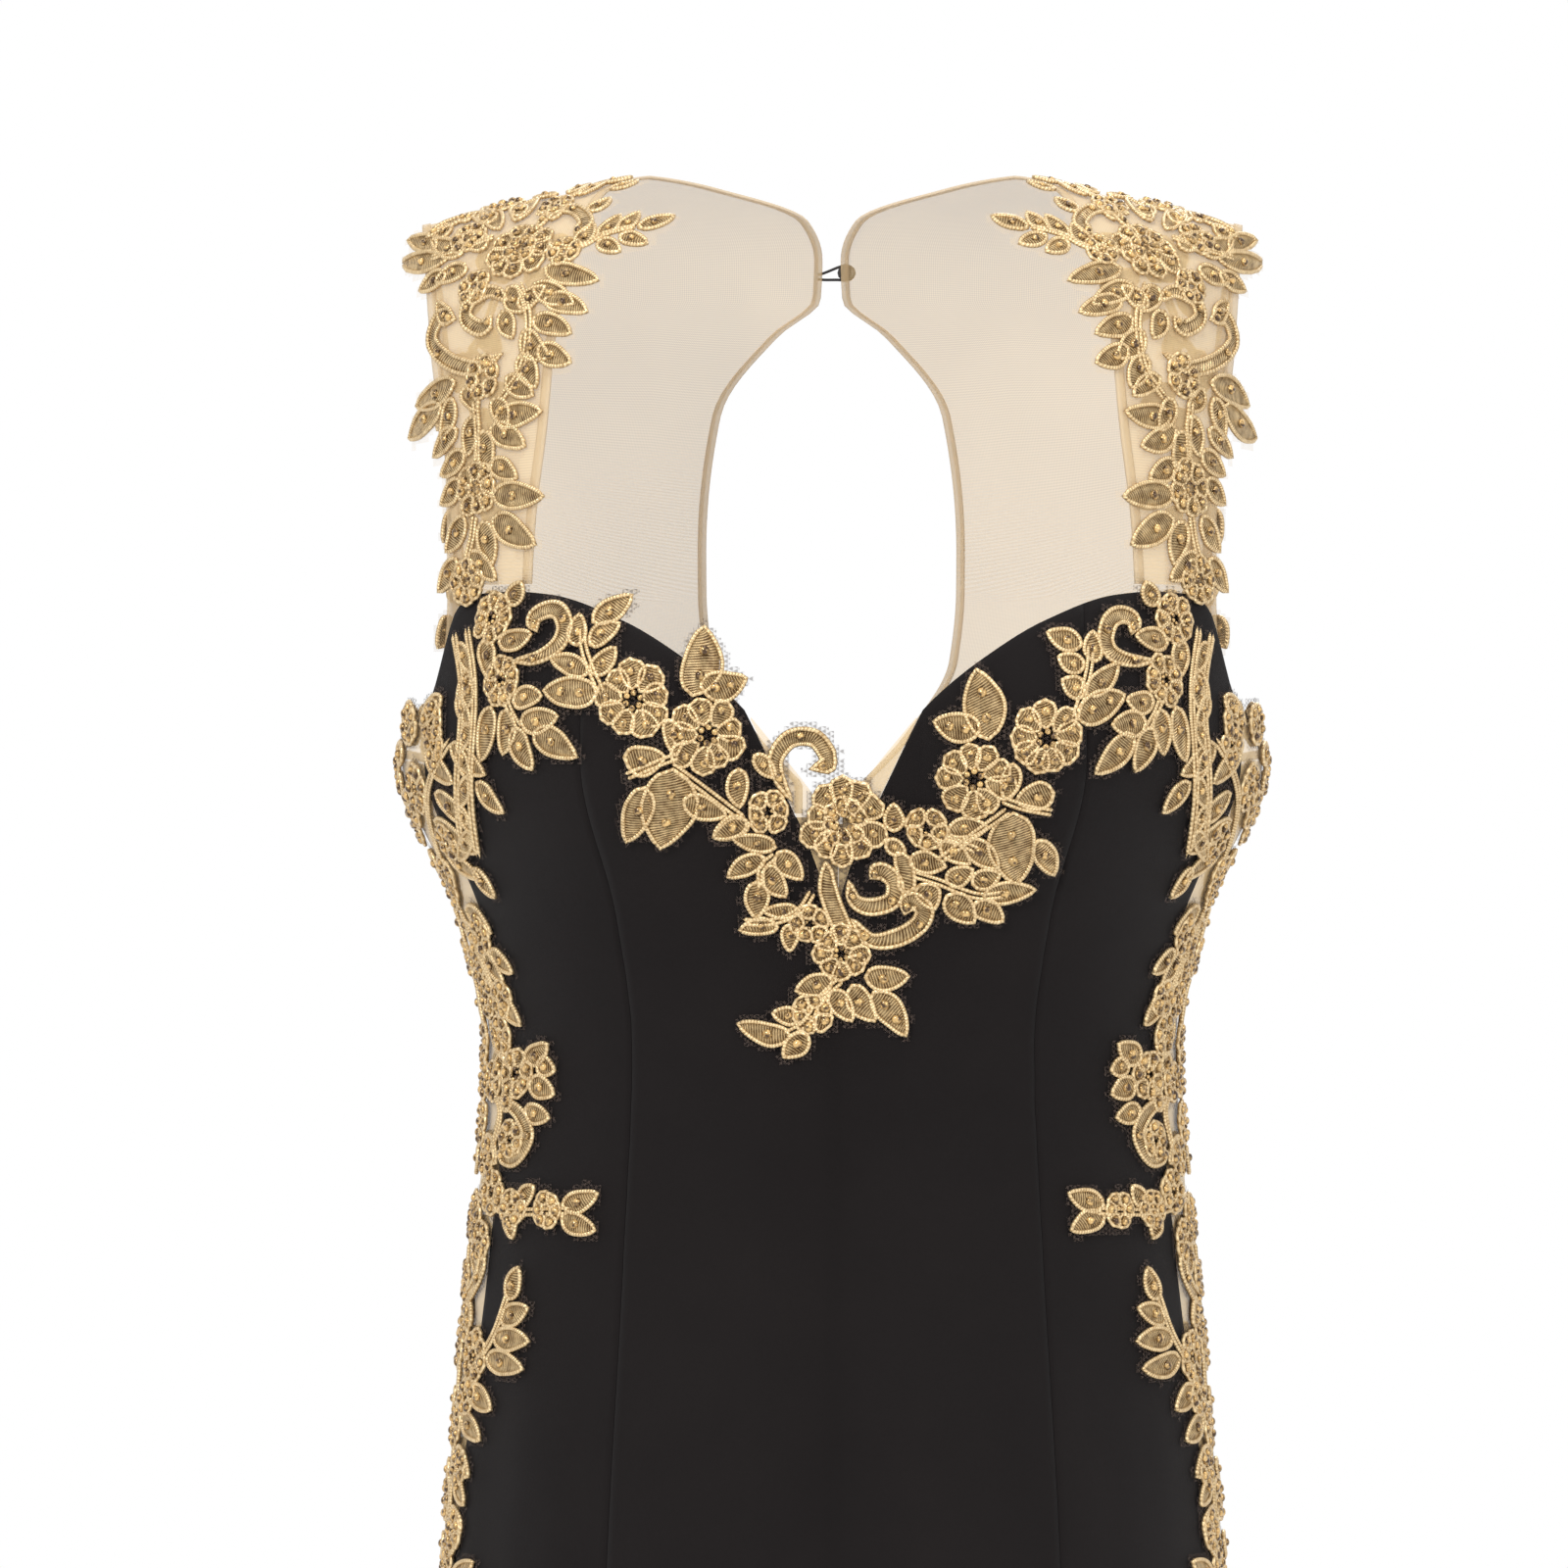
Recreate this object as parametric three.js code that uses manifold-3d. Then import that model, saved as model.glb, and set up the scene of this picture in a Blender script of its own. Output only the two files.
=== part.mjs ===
// A full-length sleeveless evening gown: a black jersey sheath with sheer mesh shoulders and sides,
// lace pieces on the outside, and cups, bones, linings, a waist stay and a zip inside.
//
// Millimetres. +Z is up, the front faces -Y, and the wearer's left is +X. The origin is on the
// body's centre line at the height of the neck side of the shoulders, which carry the gown.

import * as THREE from 'three'
import { mergeVertices } from 'three/addons/utils/BufferGeometryUtils.js'
import Module from 'manifold-3d'

const wasm = await Module()
wasm.setup()

// ---------------------------------------------------------------- driving dimensions

// heights
const GOWN_LENGTH = 1440
const CUP_TOP_Z = -164.5
const NECK_V_Z = -252
const INSET_TIP_Z = -292
const BUST_Z = -215
const UNDERARM_Z = -228
const BACK_TOP_Z = -250
const WAIST_Z = -336
const HIP_Z = -540
const SIDE_PANEL_END_Z = -640
const HEM_Z = -GOWN_LENGTH

// half widths and depths of the body that the gown follows
const CHEST_HALF = 163
const BUST_HALF = 165
const WAIST_HALF = 132
const HIP_HALF = 149
const HEM_HALF = 235
const CHEST_FRONT = 96
const WAIST_FRONT = 88
const HIP_FRONT = 103
const HEM_FRONT = 205
const CHEST_BACK = 86
const ZIP_BASE_BACK = 100
const HIP_BACK = 109
const HEM_BACK = 215

// bust
const BUST_APEX = 88
const BUST_DEPTH = 30
const BUST_SPREAD_X = 44
const BUST_SPREAD_Z = 52

// shoulders
const SHOULDER_HALF = 157
const NECK_HALF = 70
const SHOULDER_SLOPE = 0.22
const SHOULDER_ROUNDNESS = 0.85

// seams, in degrees round the body from the centre front
const PRINCESS = 35
const SIDE_PANEL_HALF = 20

// cloth layers, as distances out from the shell's outer face
const SHELL = [0, -0.9]
const MESH = [0, -0.7]
const BINDING = [0.9, -1.1]
const BUST_LACE = [2.8, 1.8]
const LACE = [2.5, 1.5]
const SHOULDER_LACE = [2, 1.1]
const CUP = [-2.4, -5.2]
const BONE = [-2, -3.2]
const HEM_BRAID = [-3, -3.8]
const LINING = [-7.4, -8.1]
const WAIST_STAY = [-9.6, -10.6]

const SEAM_GAP = 0.7
const BINDING_WIDTH = 3.2
const BONE_WIDTH = 6
const WAIST_STAY_WIDTH = 20
const HEM_BRAID_WIDTH = 50
const LINING_SHORT = 60

// zip
const ZIP_TOP_Z = -258
const ZIP_LENGTH = 205
const ZIP_HALF_GAP = 4.4
const TEETH_INNER = 0.85
const TEETH_OUTER = 2.6
const TEETH_THICKNESS = 1.4
const TAPE_INNER = 2.9
const TAPE_OUTER = 13
const TAPE_THICKNESS = 0.5
const ZIP_DEPTH = 2.6
const SLIDER_LENGTH = 9
const SLIDER_WIDTH = 7.2
const PLATE_THICKNESS = 1.2
const PLATE_CLEARANCE = 0.45
const POST_WIDTH = 1
const BRIDGE_WIDTH = 1.2
const BRIDGE_WINDOW = 1.7
const PULL_BAR = 0.9
const PULL_WIDTH = 4.2
const PULL_LENGTH = 24
const STOP_GAP = 0.6

// ---------------------------------------------------------------- small helpers

const radians = THREE.MathUtils.degToRad
const lerp = THREE.MathUtils.lerp
const clamp = THREE.MathUtils.clamp
const smoothstep = THREE.MathUtils.smoothstep

// A smooth curve through knots [position, value], flat where the values turn round.
function through(knots, position) {
  const k = knots[0][0] < knots.at(-1)[0] ? knots : [...knots].reverse()
  const p = clamp(position, k[0][0], k.at(-1)[0])
  let i = 0
  while (i < k.length - 2 && p > k[i + 1][0]) i += 1
  const rise = (n) => (k[n + 1][1] - k[n][1]) / (k[n + 1][0] - k[n][0])
  const slopeAt = (n) => {
    if (n === 0) return rise(0)
    if (n === k.length - 1) return rise(n - 1)
    const [a, b] = [rise(n - 1), rise(n)]
    return a * b <= 0 ? 0 : (2 * a * b) / (a + b)
  }
  const step = k[i + 1][0] - k[i][0]
  const t = (p - k[i][0]) / step
  const [m0, m1] = [slopeAt(i) * step, slopeAt(i + 1) * step]
  const t2 = t * t
  const t3 = t2 * t
  return (2 * t3 - 3 * t2 + 1) * k[i][1] + (t3 - 2 * t2 + t) * m0
    + (3 * t2 - 2 * t3) * k[i + 1][1] + (t3 - t2) * m1
}

// ---------------------------------------------------------------- the body's surface

const ZIP_END_Z = ZIP_TOP_Z - ZIP_LENGTH
const WIDTHS = [
  [CUP_TOP_Z, CHEST_HALF], [UNDERARM_Z, BUST_HALF],
  [lerp(UNDERARM_Z, WAIST_Z, 0.55), lerp(BUST_HALF, WAIST_HALF, 0.7)],
  [WAIST_Z, WAIST_HALF], [lerp(WAIST_Z, HIP_Z, 0.4), lerp(WAIST_HALF, HIP_HALF, 0.35)], [HIP_Z, HIP_HALF],
  [lerp(HIP_Z, HEM_Z, 0.3), lerp(HIP_HALF, HEM_HALF, 0.14)], [HEM_Z, HEM_HALF],
]
const FRONT_DEPTHS = [
  [CUP_TOP_Z, CHEST_FRONT], [BUST_Z, CHEST_FRONT], [WAIST_Z, WAIST_FRONT], [HIP_Z, HIP_FRONT],
  [lerp(HIP_Z, HEM_Z, 0.3), lerp(HIP_FRONT, HEM_FRONT, 0.15)], [HEM_Z, HEM_FRONT],
]
const BACK_DEPTHS = [
  [CUP_TOP_Z, CHEST_BACK + 4], [UNDERARM_Z, CHEST_BACK], [ZIP_END_Z - 20, ZIP_BASE_BACK],
  [HIP_Z - 50, HIP_BACK],
  [lerp(HIP_Z, HEM_Z, 0.3), lerp(HIP_BACK, HEM_BACK, 0.12)], [HEM_Z, HEM_BACK],
]

function bustBulge(x, z) {
  const across = (Math.abs(x) - BUST_APEX) / BUST_SPREAD_X
  const along = (z - BUST_Z) / BUST_SPREAD_Z
  return BUST_DEPTH * Math.exp(-(across * across + along * along) / 2)
}

// The straight line that the centre back keeps beside the zip, so that the slider can run along it.
function centreBack(z) {
  const t = (z - UNDERARM_Z) / (ZIP_END_Z - 20 - UNDERARM_Z)
  return t >= 0 && t <= 1 ? lerp(CHEST_BACK, ZIP_BASE_BACK, t) : through(BACK_DEPTHS, z)
}

// A point of the body at an angle in degrees from the centre front, towards the wearer's left.
function bodyPoint(degrees, z) {
  const angle = radians(degrees)
  const x = through(WIDTHS, z) * Math.sin(angle)
  const facing = Math.cos(angle)
  if (facing < 0) return new THREE.Vector3(x, -centreBack(z) * facing, z)
  const bulge = bustBulge(x, z) * smoothstep(facing, 0, 0.5)
  return new THREE.Vector3(x, -through(FRONT_DEPTHS, z) * facing - bulge, z)
}

const degreesAt = (x, z) => THREE.MathUtils.radToDeg(Math.asin(clamp(x / through(WIDTHS, z), -1, 1)))

// A point of the shoulders. run goes from -1 at the cup's top, over the crest at 0, to 1 at the
// same height on the back, and on down the back beyond 1.
const BACK_RUN = 120
function shoulderPoint(x, run) {
  if (run > 1) {
    const z = CUP_TOP_Z - (run - 1) * BACK_RUN
    return bodyPoint(180 - degreesAt(x, z), z)
  }
  const angle = radians(90 * run)
  const base = bodyPoint(run < 0 ? degreesAt(x, CUP_TOP_Z) : 180 - degreesAt(x, CUP_TOP_Z), CUP_TOP_Z)
  const crest = -4 - Math.max(0, Math.abs(x) - NECK_HALF) * SHOULDER_SLOPE
  const rise = Math.abs(Math.cos(angle)) ** SHOULDER_ROUNDNESS
  const reach = Math.abs(Math.sin(angle)) ** SHOULDER_ROUNDNESS
  return new THREE.Vector3(x, base.y * reach, lerp(CUP_TOP_Z, crest, rise))
}

// ---------------------------------------------------------------- edges, in mm or degrees

// The height of the bodice's top edge over the front, by distance from the centre line.
const NECKLINE = [
  [0, 0], [0.055, 0.15], [0.135, 0.34], [0.228, 0.54], [0.34, 0.71], [0.48, 0.87], [0.65, 0.985],
  [0.74, 1],
  [0.83, 0.99], [0.87, 0.93],
].map(([across, up]) => [across * BUST_HALF, lerp(NECK_V_Z, CUP_TOP_Z, up)])
NECKLINE.push([0.925 * BUST_HALF, lerp(CUP_TOP_Z, UNDERARM_Z, 0.62)], [BUST_HALF, UNDERARM_Z])

const frontTop = (degrees) => through(NECKLINE, BUST_HALF * Math.sin(radians(Math.abs(degrees))))
const backTop = (degrees) => lerp(UNDERARM_Z, BACK_TOP_Z, smoothstep(Math.abs(degrees), 95, 180))
const topAt = (degrees) => (Math.abs(degrees) <= 90 ? frontTop(degrees) : backTop(degrees))

// The front seam of the sheer side panel. The two side seams run together at the panel's end.
const SIDE_SEAM = [
  [UNDERARM_Z, 90 - SIDE_PANEL_HALF], [WAIST_Z, 90 - SIDE_PANEL_HALF],
  [lerp(WAIST_Z, SIDE_PANEL_END_Z, 0.6), 90 - 0.7 * SIDE_PANEL_HALF], [SIDE_PANEL_END_Z, 90], [HEM_Z, 90],
]
const sideSeam = (z) => through(SIDE_SEAM, z)

// The strap's two edges: distance from the centre line, by run over the shoulder.
const STRAP_OUTER = [
  [-1, 0.905], [-0.8, 0.935], [-0.6, 0.97], [-0.3, 0.99], [0, 1], [0.2, 1], [0.45, 0.975], [0.8, 0.95],
  [1, 0.945], [1.3, 0.96], [1.6, 0.965],
].map(([run, share]) => [run, share * SHOULDER_HALF])
const STRAP_INNER = [
  [-1, 1.62], [-0.92, 1.6], [-0.78, 1.54], [-0.6, 1.49], [-0.4, 1.38], [-0.17, 1.24], [0, 1.02],
  [0.15, 0.62], [0.3, 0.13], [0.42, 0.05], [0.52, 0.06], [0.6, 0.3], [0.75, 0.62], [0.95, 0.7],
  [1.2, 0.66], [1.45, 0.4], [1.6, 0.16],
].map(([run, share]) => [run, share * NECK_HALF])

// ---------------------------------------------------------------- solids from surfaces

// A closed sheet of even thickness over surface(u, v), from one layer's outer face to its inner.
function sheet(surface, columns, rows, [outer, inner]) {
  const positions = []
  const point = (u, v) => surface(clamp(u, 0, 1), clamp(v, 0, 1))
  const small = 1e-3
  for (const offset of [outer, inner]) {
    for (let row = 0; row <= rows; row += 1) {
      for (let column = 0; column <= columns; column += 1) {
        const [u, v] = [column / columns, row / rows]
        const across = point(u + small, v).sub(point(u - small, v))
        const down = point(u, v + small).sub(point(u, v - small))
        const normal = across.cross(down).normalize()
        positions.push(...point(u, v).addScaledVector(normal, offset))
      }
    }
  }
  const wide = columns + 1
  const layer = wide * (rows + 1)
  const at = (column, row, back) => row * wide + column + back * layer
  const index = []
  const corner = (n) => new THREE.Vector3().fromArray(positions, 3 * n)
  const face = (a, b, c, d) => {
    const straight = corner(a).distanceTo(corner(c)) <= corner(b).distanceTo(corner(d))
    index.push(...(straight ? [a, b, c, a, c, d] : [b, c, d, b, d, a]))
  }
  for (let row = 0; row < rows; row += 1) {
    for (let column = 0; column < columns; column += 1) {
      face(at(column, row, 0), at(column + 1, row, 0), at(column + 1, row + 1, 0), at(column, row + 1, 0))
      face(at(column, row, 1), at(column, row + 1, 1), at(column + 1, row + 1, 1), at(column + 1, row, 1))
    }
    face(at(0, row, 0), at(0, row + 1, 0), at(0, row + 1, 1), at(0, row, 1))
    face(at(columns, row, 0), at(columns, row, 1), at(columns, row + 1, 1), at(columns, row + 1, 0))
  }
  for (let column = 0; column < columns; column += 1) {
    face(at(column, 0, 0), at(column, 0, 1), at(column + 1, 0, 1), at(column + 1, 0, 0))
    face(at(column, rows, 0), at(column + 1, rows, 0), at(column + 1, rows, 1), at(column, rows, 1))
  }
  const geometry = new THREE.BufferGeometry()
  geometry.setAttribute('position', new THREE.Float32BufferAttribute(positions, 3))
  geometry.setIndex(index)
  return geometry
}

// Rows lie close together over the bodice, wider over the hips and far apart down the skirt. Each
// zone is [its lower end, the share of the bodice's row density that it gets].
const ROW_ZONES = [[lerp(WAIST_Z, HIP_Z, 0.35), 1], [SIDE_PANEL_END_Z, 0.4], [HEM_Z, 0.11]]
function rowHeight(top, bottom, v) {
  const lengths = []
  let from = top
  for (const [end, density] of ROW_ZONES) {
    const to = Math.max(end, bottom)
    lengths.push(Math.max(0, from - to) * density)
    from = Math.min(from, to)
  }
  let left = v * lengths.reduce((sum, length) => sum + length)
  let z = top
  for (const [zone, [, density]] of ROW_ZONES.entries()) {
    const used = Math.min(left, lengths[zone])
    z -= used / density
    left -= used
  }
  return z
}

// A panel of the body between two seams and two edges. first and last give degrees for a height;
// top and bottom give a height for degrees. side is 1 for the wearer's left, -1 for the right.
function bodyPanel({ first, last, top, bottom, side = 1 }) {
  return (u, v) => {
    const share = side > 0 ? 1 - u : u
    const angleAt = (z) => lerp(first(z), last(z), share)
    let high = CUP_TOP_Z
    for (let pass = 0; pass < 6; pass += 1) high = top(angleAt(high))
    const z = rowHeight(high, bottom(angleAt(high)), v)
    return bodyPoint(side * angleAt(z), z)
  }
}

const gapDegrees = (gap, z) => THREE.MathUtils.radToDeg(gap / through(WIDTHS, z))
const fixed = (value) => () => value

// A strip over the shoulder between two distances from the centre line, from run to run. Up to
// crestShare of its rows lie in front of the crest, so that two strips of one edge share their rows.
function shoulderPanel({ outer, inner, from, to, side = 1, crestShare = 0 }) {
  return (u, v) => {
    const share = side > 0 ? 1 - u : u
    const end = typeof to === 'function' ? to(lerp(outer(1.5), inner(1.5), share)) : to
    const run = v < crestShare ? lerp(from, 0, v / crestShare) : lerp(crestShare ? 0 : from, end,
      (v - crestShare) / (1 - crestShare))
    const x = lerp(outer(run), inner(run), share)
    const p = shoulderPoint(x, run)
    p.x *= side
    return p
  }
}

// ---------------------------------------------------------------- joins

function solid(geometry) {
  const bare = geometry.clone()
  bare.deleteAttribute('normal')
  bare.deleteAttribute('uv')
  const merged = mergeVertices(bare)
  const mesh = new wasm.Mesh({
    numProp: 3,
    vertProperties: new Float32Array(merged.attributes.position.array),
    triVerts: new Uint32Array(merged.index.array),
  })
  return new wasm.Manifold(mesh)
}

function fromSolid(manifold) {
  const mesh = manifold.getMesh()
  const geometry = new THREE.BufferGeometry()
  geometry.setAttribute('position', new THREE.BufferAttribute(mesh.vertProperties, 3))
  geometry.setIndex(new THREE.BufferAttribute(mesh.triVerts, 1))
  return geometry
}

const join = (...geometries) => fromSolid(geometries.map(solid).reduce((all, next) => all.add(next)))
function cut(geometry, ...tools) {
  return fromSolid(tools.map(solid).reduce((all, next) => all.subtract(next), solid(geometry)))
}

const block = (width, depth, height, x, y, z) =>
  new THREE.BoxGeometry(width, depth, height).translate(x, y, z)

// ---------------------------------------------------------------- materials

const material = (colour, roughness, metalness = 0) =>
  new THREE.MeshStandardMaterial({ color: colour, roughness, metalness, side: THREE.FrontSide })

const BLACK = 0x201d20
const NUDE = 0xe2cfb0
const GOLD = 0xb9945a
const jersey = () => material(BLACK, 0.75)
const mesh = () => material(NUDE, 0.8)
const beige = () => material(0xdcc6a2, 0.7)
const goldLace = () => material(GOLD, 0.4, 0.3)
const metal = () => material(0x8a8378, 0.35, 0.9)

const gown = new THREE.Group()

function add(name, geometry, look, parent = gown) {
  const item = new THREE.Mesh(geometry, look)
  item.name = name
  parent.add(item)
  return item
}

const SIDES = [['left', 1], ['right', -1]]

// ---------------------------------------------------------------- the shell

const insetHalf = 0.2 * BUST_HALF
const insetEdge = (degrees) => {
  const across = BUST_HALF * Math.abs(Math.sin(radians(degrees)))
  const high = through(NECKLINE, insetHalf)
  return across >= insetHalf ? frontTop(degrees) : lerp(INSET_TIP_Z, high, (across / insetHalf) ** 0.8)
}

function addFrontPanel() {
  const seam = (z) => PRINCESS - gapDegrees(SEAM_GAP / 2, z)
  const panel = bodyPanel({ first: (z) => -seam(z), last: seam, top: insetEdge, bottom: fixed(HEM_Z) })
  add('front_panel', sheet(panel, 12, 23, SHELL), jersey())
}

function addCentreInset() {
  const edge = degreesAt(0.9 * insetHalf, NECK_V_Z)
  const bottom = (degrees) => insetEdge(degrees) + SEAM_GAP
  const panel = bodyPanel({ first: fixed(-edge), last: fixed(edge), top: frontTop, bottom })
  add('centre_mesh_inset', sheet(panel, 8, 5, MESH), mesh())
}

function addSideFront(name, side) {
  const first = (z) => PRINCESS + gapDegrees(SEAM_GAP / 2, z)
  const last = (z) => sideSeam(z) - gapDegrees(SEAM_GAP / 2, z)
  const panel = bodyPanel({ first, last, top: frontTop, bottom: fixed(HEM_Z), side })
  add(`side_front_${name}`, sheet(panel, 6, 23, SHELL), jersey())
}

function addSideMesh(name, side) {
  const first = (z) => sideSeam(z) + gapDegrees(SEAM_GAP, z)
  const last = (z) => 180 - first(z)
  const bottom = fixed(SIDE_PANEL_END_Z + 54)
  const panel = bodyPanel({ first, last, top: topAt, bottom, side })
  add(`side_mesh_${name}`, sheet(panel, 5, 18, MESH), mesh())
}

// Beside the zip the back panel's edge stands clear of the slider; below it the seam closes.
function centreSeam(z) {
  const open = 1 - smoothstep(-z, -ZIP_END_Z + 24, -ZIP_END_Z + 44)
  return 180 - gapDegrees(lerp(SEAM_GAP / 2, ZIP_HALF_GAP, open), z)
}

function addBackPanel(name, side) {
  const first = (z) => 180 - sideSeam(z) + gapDegrees(SEAM_GAP / 2, z)
  const panel = bodyPanel({ first, last: centreSeam, top: backTop, bottom: fixed(HEM_Z), side })
  add(`back_panel_${name}`, sheet(panel, 8, 22, SHELL), jersey())
}

// ---------------------------------------------------------------- shoulders

const strapOuter = (inset) => (run) => through(STRAP_OUTER, run) - inset
const strapInner = (inset) => (run) => through(STRAP_INNER, run) + inset
const shoulderGap = SEAM_GAP / 2 / BACK_RUN
const STRAP_ROWS = 10
const YOKE_ROWS = 20

// The run at which the back yoke meets the back panel's top edge.
function yokeEnd(x) {
  let z = BACK_TOP_Z
  for (let pass = 0; pass < 6; pass += 1) z = backTop(180 - degreesAt(x, z)) + 1.5 * SEAM_GAP
  return 1 + (CUP_TOP_Z - z) / BACK_RUN
}

function addShoulder(name, side) {
  const bare = BINDING_WIDTH + SEAM_GAP
  const front = { from: -1 + 2 * shoulderGap, to: -shoulderGap, side }
  const back = { from: shoulderGap, to: yokeEnd, side }
  const body = { outer: strapOuter(bare), inner: strapInner(bare) }
  const neck = { outer: strapInner(BINDING_WIDTH), inner: strapInner(0) }
  const arm = { outer: strapOuter(0), inner: strapOuter(BINDING_WIDTH) }
  add(`strap_mesh_${name}`, sheet(shoulderPanel({ ...body, ...front }), 5, STRAP_ROWS, MESH), mesh())
  add(`back_yoke_${name}`, sheet(shoulderPanel({ ...body, ...back }), 6, YOKE_ROWS, MESH), mesh())
  const rows = STRAP_ROWS + YOKE_ROWS
  const whole = { from: front.from, to: yokeEnd, side, crestShare: STRAP_ROWS / rows }
  add(`neck_binding_${name}`, sheet(shoulderPanel({ ...neck, ...whole }), 1, rows, BINDING), beige())
  add(`armhole_binding_${name}`, sheet(shoulderPanel({ ...arm, ...whole }), 1, rows, BINDING), beige())
}

// ---------------------------------------------------------------- lace

const BUST_LACE_DROP = [
  [0.24, 0.16], [0.3, 0.5], [0.42, 0.62], [0.5, 0.3], [0.6, 0.36], [0.72, 0.5], [0.82, 0.52],
].map(([across, share]) => [across * BUST_HALF, share * (CUP_TOP_Z - BUST_Z) * 2])

function addBustLace(name, side) {
  const [inner, outer] = [BUST_LACE_DROP[0][0], BUST_LACE_DROP.at(-1)[0]]
  const top = (degrees) => frontTop(degrees) - 2
  const drop = (degrees) => through(BUST_LACE_DROP, BUST_HALF * Math.abs(Math.sin(radians(degrees))))
  const bottom = (degrees) => top(degrees) - drop(degrees)
  const first = fixed(THREE.MathUtils.radToDeg(Math.asin(inner / BUST_HALF)))
  const last = fixed(THREE.MathUtils.radToDeg(Math.asin(outer / BUST_HALF)))
  add(`bust_lace_${name}`, sheet(bodyPanel({ first, last, top, bottom, side }), 10, 6, BUST_LACE), goldLace())
}

const CENTRE_LACE_HALF = 0.225 * BUST_HALF
function addCentreLace() {
  const edge = THREE.MathUtils.radToDeg(Math.asin(CENTRE_LACE_HALF / BUST_HALF))
  const top = (degrees) => frontTop(degrees) - 2
  const tip = WAIST_Z + 4
  const bottom = (degrees) => lerp(tip, frontTop(edge) - 26, (Math.abs(degrees) / edge) ** 1.5)
  const panel = bodyPanel({ first: fixed(-edge), last: fixed(edge), top, bottom })
  add('neckline_lace', sheet(panel, 8, 7, LACE), goldLace())
}

// The front reach of the side lace, in degrees from the centre front.
const LACE_SPLIT_Z = lerp(WAIST_Z, HIP_Z, 0.24)
const LACE_END_Z = lerp(HIP_Z, SIDE_PANEL_END_Z, 0.6)
const SIDE_LACE_UPPER = [
  [UNDERARM_Z, 74], [lerp(UNDERARM_Z, LACE_SPLIT_Z, 0.4), 71], [lerp(UNDERARM_Z, LACE_SPLIT_Z, 0.6), 62],
  [lerp(UNDERARM_Z, LACE_SPLIT_Z, 0.85), 58], [LACE_SPLIT_Z, 50],
]
const SIDE_LACE_LOWER = [
  [LACE_SPLIT_Z, 47], [lerp(LACE_SPLIT_Z, LACE_END_Z, 0.14), 60], [lerp(LACE_SPLIT_Z, LACE_END_Z, 0.3), 55],
  [lerp(LACE_SPLIT_Z, LACE_END_Z, 0.55), 70], [lerp(LACE_SPLIT_Z, LACE_END_Z, 0.68), 66], [LACE_END_Z, 82],
]

function addSideLace(name, side) {
  const piece = (reach, top, bottom, rows) => {
    const first = (z) => through(reach, z)
    const last = (z) => 180 - 0.6 * through(reach, z) - 0.4 * (90 - SIDE_PANEL_HALF)
    return sheet(bodyPanel({ first, last, top, bottom: fixed(bottom), side }), 7, rows, LACE)
  }
  const underarm = (degrees) => Math.min(topAt(degrees), UNDERARM_Z + 14) - BINDING_WIDTH - 2
  const upper = piece(SIDE_LACE_UPPER, underarm, LACE_SPLIT_Z + SEAM_GAP, 8)
  const lower = piece(SIDE_LACE_LOWER, fixed(LACE_SPLIT_Z - SEAM_GAP), LACE_END_Z, 9)
  add(`side_lace_upper_${name}`, upper, goldLace())
  add(`side_lace_lower_${name}`, lower, goldLace())
}

function addShoulderLace(name, side) {
  const inset = BINDING_WIDTH + 2
  const edges = { outer: strapOuter(inset), inner: strapInner(inset), side }
  const front = shoulderPanel({ ...edges, from: -0.97, to: -0.02 })
  add(`shoulder_lace_${name}`, sheet(front, 5, 10, SHOULDER_LACE), goldLace())
  const width = 0.3 * SHOULDER_HALF
  const band = { outer: strapOuter(inset), inner: strapOuter(inset + width), side }
  const back = shoulderPanel({ ...band, from: 0.02, to: (x) => yokeEnd(x) - 0.03 })
  add(`back_lace_${name}`, sheet(back, 4, 13, SHOULDER_LACE), goldLace())
}

// ---------------------------------------------------------------- inside the bodice

function addCup(name, side) {
  const [inner, outer] = [0.18 * BUST_HALF, 0.82 * BUST_HALF]
  const low = BUST_Z - 62
  const top = (degrees) => frontTop(degrees) - 4
  const curve = (degrees) => {
    const [near, far] = [degreesAt(inner, BUST_Z), degreesAt(outer, BUST_Z)]
    const t = (Math.abs(degrees) - near) / (far - near)
    return lerp(top(degrees) - 12, low, Math.sin(Math.PI * clamp(t, 0, 1)) ** 0.6)
  }
  const first = fixed(degreesAt(inner, BUST_Z))
  const last = fixed(degreesAt(outer, BUST_Z))
  add(`bust_cup_${name}`, sheet(bodyPanel({ first, last, top, bottom: curve, side }), 8, 6, CUP), beige())
}

function addBone(name, side, degrees, top, bottom) {
  const half = (z) => gapDegrees(BONE_WIDTH / 2, z)
  const panel = bodyPanel({
    first: (z) => degrees(z) - half(z),
    last: (z) => degrees(z) + half(z),
    top: fixed(top),
    bottom: fixed(bottom),
    side,
  })
  add(name, sheet(panel, 1, 8, BONE), material(0x2a2a2c, 0.5))
}

function addBones(name, side) {
  const bottom = WAIST_Z - 50
  const besideZip = (z) => 180 - gapDegrees(TAPE_OUTER + 1.6 + BONE_WIDTH / 2, z)
  addBone(`front_bone_${name}`, side, fixed(PRINCESS), BUST_Z - 70, bottom)
  addBone(`side_bone_${name}`, side, (z) => sideSeam(z) - 4, UNDERARM_Z - 6, bottom)
  addBone(`back_bone_${name}`, side, besideZip, BACK_TOP_Z - 8, bottom)
}

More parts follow.
